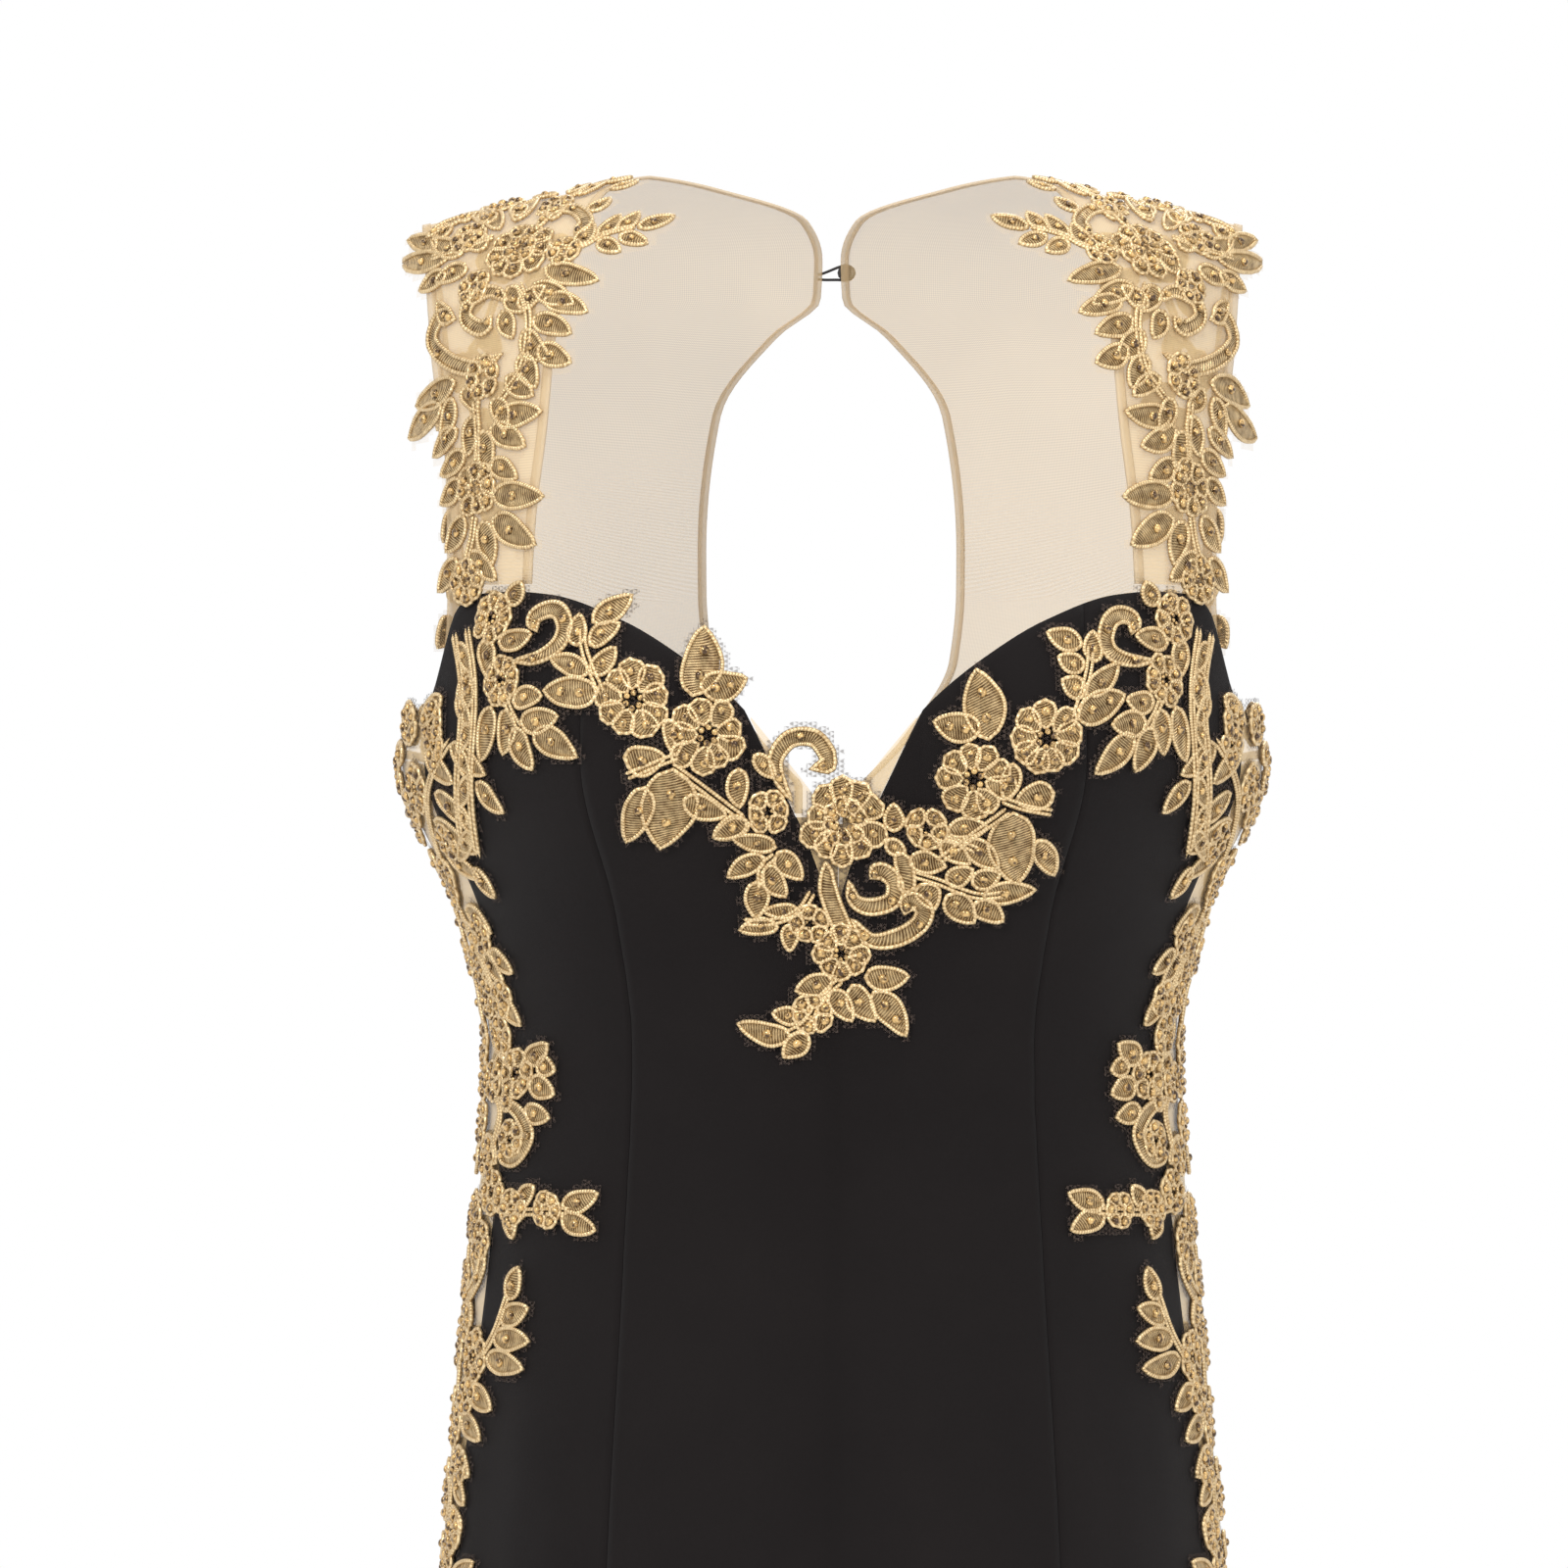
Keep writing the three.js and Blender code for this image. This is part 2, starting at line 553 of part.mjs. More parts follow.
function addLinings() {
  const lining = () => material(0x1b181b, 0.6)
  const edge = (z) => sideSeam(z) - 1.2
  const top = (degrees) => topAt(degrees) - 3
  const frontEdge = (degrees) => insetEdge(degrees) - 3
  const end = SIDE_PANEL_END_Z
  const front = bodyPanel({ first: (z) => -edge(z), last: edge, top: frontEdge, bottom: fixed(end) })
  add('front_lining', sheet(front, 16, 14, LINING), lining())
  for (const [name, side] of SIDES) {
    const last = (z) => centreSeam(z) - gapDegrees(3, z)
    const back = bodyPanel({ first: (z) => 180 - edge(z), last, top, bottom: fixed(end), side })
    add(`back_lining_${name}`, sheet(back, 5, 13, LINING), lining())
  }
  const skirtTop = SIDE_PANEL_END_Z - SEAM_GAP
  const ring = (u, v) => bodyPoint(lerp(179.7, -179.7, u), lerp(skirtTop, HEM_Z + LINING_SHORT, v))
  add('skirt_lining', sheet(ring, 30, 4, LINING), lining())
}

function addWaistStay() {
  const reach = 180 - gapDegrees(7, WAIST_Z)
  const half = WAIST_STAY_WIDTH / 2
  const ring = (u, v) => bodyPoint(lerp(reach, -reach, u), lerp(WAIST_Z + half, WAIST_Z - half, v))
  add('waist_stay', sheet(ring, 36, 1, WAIST_STAY), beige())
}

function addHemBraid() {
  const ring = (u, v) => bodyPoint(lerp(179.6, -179.6, u), lerp(HEM_Z + HEM_BRAID_WIDTH, HEM_Z + 0.5, v))
  add('hem_braid', sheet(ring, 44, 1, HEM_BRAID), material(0x2b272b, 0.6))
}

function addUnderarmBinding(name, side) {
  const first = degreesAt(0.965 * BUST_HALF, UNDERARM_Z)
  const last = 180 - degreesAt(through(STRAP_OUTER, 1.6), UNDERARM_Z) - 1
  const bottom = (degrees) => topAt(degrees) + 1.3 * SEAM_GAP
  const top = (degrees) => bottom(degrees) + BINDING_WIDTH
  const panel = bodyPanel({ first: fixed(first), last: fixed(last), top, bottom, side })
  add(`underarm_binding_${name}`, sheet(panel, 9, 1, BINDING), beige())
}

// ---------------------------------------------------------------- the zip

// The zip lies on the straight centre back line. This group's +Z runs up along it, its +Y points
// out of the back, and its origin is at the top of the zip on the shell's outer face.
const zipLean = Math.atan2(centreBack(ZIP_END_Z) - centreBack(ZIP_TOP_Z), ZIP_LENGTH)
const zip = new THREE.Group()
zip.position.set(0, centreBack(ZIP_TOP_Z), ZIP_TOP_Z)
zip.rotation.x = zipLean
gown.add(zip)

function addZip() {
  const middle = -ZIP_LENGTH / 2
  for (const [name, side] of SIDES) {
    const strip = (inner, outer, thickness) =>
      block(outer - inner, thickness, ZIP_LENGTH, side * (outer + inner) / 2, -ZIP_DEPTH, middle)
    const tape = strip(TAPE_INNER, TAPE_OUTER, TAPE_THICKNESS)
    add(`zip_tape_${name}`, tape, material(0x1c1a1c, 0.8), zip)
    const teeth = strip(TEETH_INNER, TEETH_OUTER, TEETH_THICKNESS)
    add(`zip_teeth_${name}`, teeth, material(0x232123, 0.45), zip)
  }
  const stopWidth = 2 * TEETH_OUTER + 1.2
  const stop = block(stopWidth, TEETH_THICKNESS + 1, 4, 0, -ZIP_DEPTH, -ZIP_LENGTH - 2 - SEAM_GAP / 2)
  add('zip_bottom_stop', stop, metal(), zip)
}

const plateOffset = TEETH_THICKNESS / 2 + PLATE_CLEARANCE + PLATE_THICKNESS / 2
const outerFace = -ZIP_DEPTH + plateOffset + PLATE_THICKNESS / 2
const hingeDepth = outerFace + BRIDGE_WINDOW / 2
const sliderZ = -SLIDER_LENGTH / 2 - STOP_GAP

function addSlider() {
  const plate = (sign) =>
    block(SLIDER_WIDTH, PLATE_THICKNESS, SLIDER_LENGTH, 0, -ZIP_DEPTH + sign * plateOffset, sliderZ)
  const post = block(POST_WIDTH, 2 * plateOffset, SLIDER_LENGTH - 3, 0, -ZIP_DEPTH, sliderZ)
  const wall = 0.9
  const bridgeHeight = BRIDGE_WINDOW + 2 * wall
  const bridgeDepth = BRIDGE_WINDOW + wall
  const bridgeY = outerFace + bridgeDepth / 2 - 0.15
  const bridge = block(BRIDGE_WIDTH, bridgeDepth + 0.3, bridgeHeight, 0, bridgeY, sliderZ)
  const windowY = outerFace + BRIDGE_WINDOW / 2
  const window = block(BRIDGE_WIDTH + 1, BRIDGE_WINDOW, BRIDGE_WINDOW, 0, windowY, sliderZ)
  const shape = cut(join(plate(1), plate(-1), post, bridge), window)
  add('zip_slider', shape, metal(), zip)
}

function addPull() {
  const bar = PULL_BAR
  const outline = new THREE.Shape()
  const half = PULL_WIDTH / 2
  outline.moveTo(-half, bar / 2)
  outline.lineTo(half, bar / 2)
  outline.lineTo(half, -PULL_LENGTH + half)
  outline.absarc(0, -PULL_LENGTH + half, half, 0, -Math.PI, true)
  outline.lineTo(-half, bar / 2)
  const hole = new THREE.Path()
  const inner = BRIDGE_WIDTH / 2 + 0.4
  const drop = -bar / 2 - BRIDGE_WINDOW - 1.6
  hole.moveTo(-inner, -bar / 2)
  hole.lineTo(-inner, drop)
  hole.lineTo(inner, drop)
  hole.lineTo(inner, -bar / 2)
  hole.closePath()
  outline.holes.push(hole)
  const tab = new THREE.ExtrudeGeometry(outline, { depth: bar, bevelEnabled: false, curveSegments: 10 })
  tab.translate(0, 0, -bar / 2).rotateX(Math.PI / 2)
  tab.translate(0, hingeDepth, sliderZ)
  add('zip_pull', tab, metal(), zip)
}

// ---------------------------------------------------------------- small closures

function addHookAndEye() {
  const y = centreBack(BACK_TOP_Z - 3)
  const z = BACK_TOP_Z - 3.6
  const depth = -ZIP_DEPTH
  const over = 1.2
  const foot = block(5, 0.8, 2.4, 5.2, y + depth, z)
  const riser = block(1, over + 0.8, 1, 2.9, y + depth + over / 2, z)
  const arm = block(6.4, 0.8, 1, 0.2, y + depth + over, z)
  const tip = block(0.8, over + 0.6, 1, -2.6, y + depth + over / 2 + 0.1, z)
  add('top_hook', join(foot, riser, arm, tip), metal())
  const stem = block(5, 0.8, 1.6, -6.4, y + depth, z)
  const plate = block(5.4, 0.8, 3.4, -3.4, y + depth, z)
  const hole = block(3.2, 2, 1.8, -2.9, y + depth, z)
  add('top_eye', cut(join(plate, stem), hole), metal())
}

function addNapeClosure() {
  const run = 0.47
  const edge = through(STRAP_INNER, run)
  const seat = shoulderPoint(edge + BINDING_WIDTH / 2, run)
  const out = new THREE.Vector3(0, 0.8, 0.6).normalize()
  const centre = seat.clone().addScaledVector(out, BINDING[0] + 3.4)
  const ball = new THREE.SphereGeometry(3, 12, 8).translate(centre.x, centre.y, centre.z)
  add('nape_button', ball, material(BLACK, 0.5))
  const loop = new THREE.TorusGeometry(4.3, 0.55, 6, 18)
  loop.rotateX(-Math.atan2(out.y, out.z))
  loop.translate(centre.x, centre.y, centre.z)
  add('nape_loop', loop, material(0x241f22, 0.8))
}

function addStayClosure() {
  const y = centreBack(WAIST_Z) + WAIST_STAY[1] + 0.5
  add('stay_hook', join(block(5.2, 1, 9, 3.4, y, WAIST_Z), block(1, 2.6, 9, 1.1, y - 0.8, WAIST_Z)), metal())
  add('stay_bar', join(block(4.2, 1, 9, -4, y, WAIST_Z), block(1, 1.6, 9, -1.6, y - 0.3, WAIST_Z)), metal())
}

// ---------------------------------------------------------------- the assembly

addFrontPanel()
addCentreInset()
addCentreLace()
addLinings()
addWaistStay()
addHemBraid()
for (const [name, side] of SIDES) {
  addSideFront(name, side)
  addSideMesh(name, side)
  addBackPanel(name, side)
  addShoulder(name, side)
  addUnderarmBinding(name, side)
  addBustLace(name, side)
  addSideLace(name, side)
  addShoulderLace(name, side)
  addCup(name, side)
  addBones(name, side)
}
addZip()
addSlider()
addPull()
addHookAndEye()
addNapeClosure()
addStayClosure()

export default gown
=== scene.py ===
# %% [markdown]
# # A black evening gown with corded gold lace
#
# The gown is sewn from thin cloth, so almost everything here is a sheet that follows one shape: the
# body it is cut for. The frame brings the gown's simple solids, its zip and its joints. Each cell
# below replaces a plain solid with the cloth, cord or bead that the real gown has.

import math

import bmesh
import bpy
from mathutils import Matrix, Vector, bvhtree, kdtree, noise


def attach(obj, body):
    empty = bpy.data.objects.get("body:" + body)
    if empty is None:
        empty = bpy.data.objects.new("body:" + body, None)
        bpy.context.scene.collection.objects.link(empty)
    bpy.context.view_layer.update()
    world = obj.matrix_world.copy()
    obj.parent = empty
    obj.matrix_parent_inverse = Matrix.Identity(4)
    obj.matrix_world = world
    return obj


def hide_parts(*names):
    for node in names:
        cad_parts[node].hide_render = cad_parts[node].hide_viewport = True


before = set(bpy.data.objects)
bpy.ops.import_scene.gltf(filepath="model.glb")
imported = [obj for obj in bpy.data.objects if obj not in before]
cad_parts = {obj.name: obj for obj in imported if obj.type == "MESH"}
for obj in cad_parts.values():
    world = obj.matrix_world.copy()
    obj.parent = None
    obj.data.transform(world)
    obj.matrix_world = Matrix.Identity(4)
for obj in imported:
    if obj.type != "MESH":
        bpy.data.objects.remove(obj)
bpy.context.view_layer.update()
mm = 0.001
print("frame nodes:", len(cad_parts))

# %% [markdown]
# ## The camera
#
# A dress is photographed level, at chest height, from far enough away that its outline isn't bent.
# A long lens from four metres does that. The view is a little to the wearer's right of the middle.

# %% Camera
VIEW_WIDTH = 0.592
VIEW_CENTRE = Vector((-0.0185, 0.0, -0.2368))
CAMERA_DISTANCE = 4.0
SENSOR = 36.0

camera_data = bpy.data.cameras.new("camera")
camera_data.sensor_width = SENSOR
camera_data.lens = SENSOR * CAMERA_DISTANCE / VIEW_WIDTH
camera = bpy.data.objects.new("camera", camera_data)
camera.location = VIEW_CENTRE + Vector((0, -CAMERA_DISTANCE - 0.06, 0))
camera.rotation_euler = (math.radians(90), 0, 0)
bpy.context.collection.objects.link(camera)
bpy.context.scene.camera = camera
print("lens:", round(camera_data.lens))

# %% [markdown]
# ## The shape that the cloth follows
#
# A fitted gown takes the shape of the body in it. Ellipses that change with height describe that
# body well, and a small bell-shaped bulge on each side makes the bust. Each curve passes smoothly
# through a few knots, so a size is changed by moving one knot.

# %% Curves through knots
def through(knots, position):
    """The value at a position of a smooth curve through (position, value) knots."""
    k = knots if knots[0][0] < knots[-1][0] else knots[::-1]
    p = min(max(position, k[0][0]), k[-1][0])
    i = 0
    while i < len(k) - 2 and p > k[i + 1][0]:
        i += 1
    rise = [(b[1] - a[1]) / (b[0] - a[0]) for a, b in zip(k, k[1:])]

    def slope(n):
        if n == 0:
            return rise[0]
        if n == len(k) - 1:
            return rise[-1]
        a, b = rise[n - 1], rise[n]
        return 0 if a * b <= 0 else 2 * a * b / (a + b)

    step = k[i + 1][0] - k[i][0]
    t = (p - k[i][0]) / step
    m0, m1 = slope(i) * step, slope(i + 1) * step
    return (
        (2 * t**3 - 3 * t**2 + 1) * k[i][1]
        + (t**3 - 2 * t**2 + t) * m0
        + (3 * t**2 - 2 * t**3) * k[i + 1][1]
        + (t**3 - t**2) * m1
    )


def mix(a, b, t):
    return a + (b - a) * t


def ease(x, low, high):
    t = min(max((x - low) / (high - low), 0), 1)
    return t * t * (3 - 2 * t)


# %% Heights and sizes of the gown, in millimetres
HEM_Z = -1440
CUP_TOP_Z, NECK_V_Z, INSET_TIP_Z = -164.5, -252, -292
BUST_Z, UNDERARM_Z, BACK_TOP_Z = -215, -228, -250
WAIST_Z, HIP_Z, SIDE_PANEL_END_Z = -336, -540, -640
ZIP_END_Z = -463
CHEST_HALF, BUST_HALF, WAIST_HALF, HIP_HALF, HEM_HALF = 163, 165, 132, 149, 235
CHEST_FRONT, WAIST_FRONT, HIP_FRONT, HEM_FRONT = 96, 88, 103, 205
CHEST_BACK, ZIP_BASE_BACK, HIP_BACK, HEM_BACK = 86, 100, 109, 215
BUST_APEX, BUST_DEPTH, BUST_SPREAD_X, BUST_SPREAD_Z = 88, 30, 44, 52
SHOULDER_HALF, NECK_HALF, SHOULDER_SLOPE, SHOULDER_ROUNDNESS = 157, 70, 0.22, 0.85
PRINCESS, SIDE_PANEL_HALF = 35, 20
SEAM_GAP, BINDING_WIDTH, ZIP_HALF_GAP = 0.7, 3.2, 4.4
BACK_RUN = 120

# Each layer's outer and inner face, as heights over the body's shape. None is a single face.
JERSEY_FACES, MESH_FACES, SIDE_MESH_FACES = (0, -0.9), (0, None), (-0.3, None)
BINDING_FACES, LINING_FACES = (0.5, -0.6), (-7.4, -8.1)
BRAID_FACES, STAY_FACES, CUP_FACES = (-3, -3.8), (-9.6, -10.6), (-2.4, -5.2)
SEAM_HALF = 0.12  # half of the gap that shows as a seam between two panels of jersey

KNEE_Z = mix(HIP_Z, HEM_Z, 0.3)
WIDTHS = [
    (CUP_TOP_Z, CHEST_HALF),
    (UNDERARM_Z, BUST_HALF),
    (mix(UNDERARM_Z, WAIST_Z, 0.55), mix(BUST_HALF, WAIST_HALF, 0.7)),
    (WAIST_Z, WAIST_HALF),
    (mix(WAIST_Z, HIP_Z, 0.4), mix(WAIST_HALF, HIP_HALF, 0.35)),
    (HIP_Z, HIP_HALF),
    (KNEE_Z, mix(HIP_HALF, HEM_HALF, 0.14)),
    (HEM_Z, HEM_HALF),
]
FRONT_DEPTHS = [
    (CUP_TOP_Z, CHEST_FRONT),
    (BUST_Z, CHEST_FRONT),
    (WAIST_Z, WAIST_FRONT),
    (HIP_Z, HIP_FRONT),
    (KNEE_Z, mix(HIP_FRONT, HEM_FRONT, 0.15)),
    (HEM_Z, HEM_FRONT),
]
BACK_DEPTHS = [
    (CUP_TOP_Z, CHEST_BACK + 4),
    (UNDERARM_Z, CHEST_BACK),
    (ZIP_END_Z - 20, ZIP_BASE_BACK),
    (HIP_Z - 50, HIP_BACK),
    (KNEE_Z, mix(HIP_BACK, HEM_BACK, 0.12)),
    (HEM_Z, HEM_BACK),
]
print("gown length:", -HEM_Z, "mm")


# %% The body's surface
def bust_bulge(x, z):
    across = (abs(x) - BUST_APEX) / BUST_SPREAD_X
    along = (z - BUST_Z) / BUST_SPREAD_Z
    return BUST_DEPTH * math.exp(-(across**2 + along**2) / 2)


def centre_back(z):
    """The back's depth, which is straight beside the zip so that the slider runs freely."""
    t = (z - UNDERARM_Z) / (ZIP_END_Z - 20 - UNDERARM_Z)
    return mix(CHEST_BACK, ZIP_BASE_BACK, t) if 0 <= t <= 1 else through(BACK_DEPTHS, z)


def body_point(degrees, z):
    """A point of the body, by degrees from the centre front towards the wearer's left."""
    angle = math.radians(degrees)
    x = through(WIDTHS, z) * math.sin(angle)
    facing = math.cos(angle)
    if facing < 0:
        return Vector((x, -centre_back(z) * facing, z))
    bulge = bust_bulge(x, z) * ease(facing, 0, 0.5)
    return Vector((x, -through(FRONT_DEPTHS, z) * facing - bulge, z))


def degrees_at(x, z):
    return math.degrees(math.asin(min(max(x / through(WIDTHS, z), -1), 1)))


def shoulder_point(x, run):
    """A point of the shoulders: run is -1 at the cup's top, 0 on the crest, 1 and more on the back."""
    if run > 1:
        z = CUP_TOP_Z - (run - 1) * BACK_RUN
        return body_point(180 - degrees_at(x, z), z)
    angle = math.radians(90 * run)
    at_front = degrees_at(x, CUP_TOP_Z)
    base = body_point(at_front if run < 0 else 180 - at_front, CUP_TOP_Z)
    crest = -4 - max(0, abs(x) - NECK_HALF) * SHOULDER_SLOPE
    rise = abs(math.cos(angle)) ** SHOULDER_ROUNDNESS
    reach = abs(math.sin(angle)) ** SHOULDER_ROUNDNESS
    return Vector((x, base.y * reach, mix(CUP_TOP_Z, crest, rise)))


# %% Edges and seams
NECKLINE = [
    (0, 0), (0.055, 0.15), (0.135, 0.34), (0.228, 0.54), (0.34, 0.71), (0.48, 0.87), (0.65, 0.985),
    (0.74, 1), (0.83, 0.99), (0.87, 0.93),
]
NECKLINE = [(across * BUST_HALF, mix(NECK_V_Z, CUP_TOP_Z, up)) for across, up in NECKLINE]
NECKLINE += [(0.925 * BUST_HALF, mix(CUP_TOP_Z, UNDERARM_Z, 0.62)), (BUST_HALF, UNDERARM_Z)]
SIDE_SEAM = [
    (UNDERARM_Z, 90 - SIDE_PANEL_HALF),
    (WAIST_Z, 90 - SIDE_PANEL_HALF),
    (mix(WAIST_Z, SIDE_PANEL_END_Z, 0.6), 90 - 0.7 * SIDE_PANEL_HALF),
    (SIDE_PANEL_END_Z, 90),
    (HEM_Z, 90),
]
STRAP_OUTER = [
    (-1, 0.905), (-0.8, 0.935), (-0.6, 0.97), (-0.3, 0.99), (0, 1), (0.2, 1), (0.45, 0.975),
    (0.8, 0.95), (1, 0.945), (1.3, 0.96), (1.6, 0.965),
]
STRAP_OUTER = [(run, share * SHOULDER_HALF) for run, share in STRAP_OUTER]
STRAP_INNER = [
    (-1, 1.62), (-0.92, 1.6), (-0.78, 1.54), (-0.6, 1.49), (-0.4, 1.38), (-0.17, 1.24), (0, 1.02),
    (0.15, 0.62), (0.3, 0.13), (0.42, 0.05), (0.52, 0.06), (0.6, 0.3), (0.75, 0.62), (0.95, 0.7),
    (1.2, 0.66), (1.45, 0.4), (1.6, 0.16),
]
STRAP_INNER = [(run, share * NECK_HALF) for run, share in STRAP_INNER]
INSET_HALF = 0.2 * BUST_HALF


def front_top(degrees):
    return through(NECKLINE, BUST_HALF * math.sin(math.radians(min(abs(degrees), 90))))


def back_top(degrees):
    return mix(UNDERARM_Z, BACK_TOP_Z, ease(abs(degrees), 95, 180))


def top_at(degrees):
    return front_top(degrees) if abs(degrees) <= 90 else back_top(degrees)


def inset_edge(degrees):
    across = BUST_HALF * abs(math.sin(math.radians(degrees)))
    if across >= INSET_HALF:
        return front_top(degrees)
    return mix(INSET_TIP_Z, through(NECKLINE, INSET_HALF), (across / INSET_HALF) ** 0.8)


def side_seam(z):
    return through(SIDE_SEAM, z)


def gap_degrees(gap, z):
    return math.degrees(gap / through(WIDTHS, z))


def centre_seam(z):
    """The back panel's edge: clear of the zip's slider, and closed below the zip."""
    opened = 1 - ease(-z, -ZIP_END_Z + 8, -ZIP_END_Z + 26)
    return 180 - gap_degrees(mix(SEAM_GAP / 2, ZIP_HALF_GAP, opened), z)


def yoke_end(x):
    z = BACK_TOP_Z
    for _ in range(6):
        z = back_top(180 - degrees_at(x, z)) + 1.5 * SEAM_GAP
    return 1 + (CUP_TOP_Z - z) / BACK_RUN


# %% [markdown]
# ## How the skirt falls
#
# The jersey is smooth where the body fills it and falls in soft upright folds below the hip. The
# folds deepen towards the hem. Every layer of the skirt takes its folds from the same function, so
# the lining and the hem braid never cut through the outside.

# %% Folds and drag lines
FOLD_START_Z = -455
FOLD_DEPTH = 11
FOLDS = [(7, 0.4, 0.42), (11, 2.1, 0.36), (17, 4.4, 0.22)]


def fold(degrees, z):
    """How far the cloth stands out of the body's shape, in millimetres."""
    depth = ease(-z, -FOLD_START_Z, -HEM_Z + 120) ** 0.85 * FOLD_DEPTH
    angle = math.radians(degrees)
    drift = 0.25 * math.sin(z / 260)
    wave = sum(share * math.cos(n * (angle + drift / n) + phase) for n, phase, share in FOLDS)
    seam = 1 - 0.85 * math.exp(-(((abs(degrees) - 180) / 5) ** 2))
    return depth * wave * seam


def drag(point):
    """Slight strain lines across the waist and soft ripples over the hip, in millimetres."""
    waist = math.exp(-(((point.z - WAIST_Z) / 60) ** 2))
    across = noise.noise(Vector((point.x / 70, point.y / 70, point.z / 13)))
    upright = noise.noise(Vector((point.x / 24, point.y / 24, point.z / 160 + 9)))
    hip = ease(-point.z, 380, 520)
    return 0.7 * waist * across + 1.5 * hip * upright


# %% [markdown]
# ## Shader sums as Python
#
# A node tree is easier to read when its sums look like sums. `Wire` wraps a socket and turns `+`,
# `-` and `*` into Math nodes. `Finish` makes a material and adds any other node by its type.

# %% Wire and Finish
class Wire:
    """The output of a node, which can be added, subtracted and multiplied."""

    def __init__(self, finish, socket):
        self.finish, self.socket = finish, socket

    def sum(self, operation, *values):
        return self.finish.add("ShaderNodeMath", {"operation": operation}, dict(enumerate(values)))

    def __add__(self, other):
        return self.sum("ADD", self, other)

    def __sub__(self, other):
        return self.sum("SUBTRACT", self, other)

    def __rsub__(self, other):
        return self.sum("SUBTRACT", other, self)

    def __mul__(self, other):
        return self.sum("MULTIPLY", self, other)

    __radd__, __rmul__ = __add__, __mul__

    def sine(self):
        return self.sum("SINE", self)

    def blur(self, low, high):
        """0 at low and 1 at high, with a straight slope between."""
        names = {"Value": self, "From Min": low, "From Max": high}
        return self.finish.add("ShaderNodeMapRange", {"clamp": True}, names)


class Finish:
    """A material whose nodes are added by type, settings and sockets."""

    def __init__(self, name, colour, roughness, **rest):
        self.material = bpy.data.materials.new(name)
        self.material.use_nodes = True
        self.tree = self.material.node_tree
        self.shader = self.tree.nodes["Principled BSDF"]
        self.material.diffuse_color = (*colour, 1)
        self.set(**{"Base Color": (*colour, 1), "Roughness": roughness}, **rest)

    def add(self, kind, settings, sockets):
        node = self.tree.nodes.new(kind)
        for key, value in settings.items():
            setattr(node, key, value)
        for key, value in sockets.items():
            self.join(value, node.inputs[key])
        return Wire(self, node.outputs[0])

    def join(self, value, socket):
        if isinstance(value, Wire):
            self.tree.links.new(value.socket, socket)
        else:
            socket.default_value = value

    def set(self, **values):
        for key, value in values.items():
            self.join(value, self.shader.inputs[key])
        return self

    def place(self, kind="Object"):
        coordinates = self.tree.nodes.new("ShaderNodeTexCoord")
        return Wire(self, coordinates.outputs[kind])

    def axes(self, wire):
        split = self.tree.nodes.new("ShaderNodeSeparateXYZ")
        self.join(wire, split.inputs[0])
        return [Wire(self, output) for output in split.outputs]

    def noise(self, scale, detail=3):
        inputs = {"Vector": self.place(), "Scale": scale, "Detail": detail}
        return self.add("ShaderNodeTexNoise", {}, inputs)

    def blend(self, factor, first, second):
        node = self.tree.nodes.new("ShaderNodeMix")
        node.data_type = "RGBA"
        self.join(factor, node.inputs["Factor"])
        low, high = [socket for socket in node.inputs if socket.type == "RGBA"]
        for value, socket in ((first, low), (second, high)):
            self.join(value if isinstance(value, Wire) else (*value, 1), socket)
        return Wire(self, [socket for socket in node.outputs if socket.type == "RGBA"][0])

    def relief(self, height, depth, strength=1.0):
        bump = self.add("ShaderNodeBump", {}, {"Height": height, "Distance": depth, "Strength": strength})
        return self.set(Normal=bump)


# %% [markdown]
# ## The finishes
#
# Cloth patterns read each sheet's UV map, which is in metres here, so a stitch or thread has its
# real size on every piece. Metal and beads read the object's own coordinates.

# %% Cloth finishes
def stripes(wire, pitch):
    """A wave that repeats each `pitch` metres of a coordinate."""
    return (wire * (2 * math.pi / pitch)).sine()


def threads(finish, pitch):
    """Two crossed sets of fine threads as one height, from the UV map in metres."""
    across, along, _ = finish.axes(finish.place("UV"))
    return stripes(across, pitch) * 0.5 + stripes(along, pitch) * 0.5


jersey = Finish("black_jersey", (0.0060, 0.0042, 0.0042), 0.7)
jersey.set(**{"Sheen Weight": 0.03, "Sheen Roughness": 0.5, "Specular IOR Level": 0.12})
cloudy = jersey.noise(26, 4)
jersey.set(**{"Base Color": jersey.blend(cloudy, (0.0044, 0.0030, 0.0031), (0.0080, 0.0058, 0.0056))})
jersey.relief(threads(jersey, 0.0007) * 0.6 + jersey.noise(900, 2), 0.00015, 0.6)

mesh_cloth = Finish("nude_mesh", (0.72, 0.56, 0.36), 0.65)
weave = threads(mesh_cloth, 0.0009)
mesh_cloth.set(Alpha=weave * 0.12 + 0.56)
nude = mesh_cloth.blend(mesh_cloth.noise(24), (0.62, 0.45, 0.24), (0.72, 0.54, 0.30))
mesh_cloth.set(**{"Base Color": nude, "Specular IOR Level": 0.1})

satin_edge = Finish("beige_binding", (0.66, 0.50, 0.30), 0.55)
satin_edge.set(**{"Specular IOR Level": 0.15})
satin_edge.set(Alpha=satin_edge.noise(60) * 0.1 + 0.5)
satin_edge.relief(threads(satin_edge, 0.0006), 0.0001, 0.5)

lining = Finish("black_lining", (0.012, 0.010, 0.0115), 0.42)
lining.set(**{"Base Color": lining.blend(lining.noise(30), (0.009, 0.008, 0.009), (0.017, 0.014, 0.016))})
lining.relief(threads(lining, 0.0005) * 0.4 + lining.noise(14, 2), 0.0006, 0.35)

foam = Finish("cup_foam", (0.72, 0.58, 0.42), 0.85)
foam.relief(foam.noise(700, 2), 0.0003, 0.5)

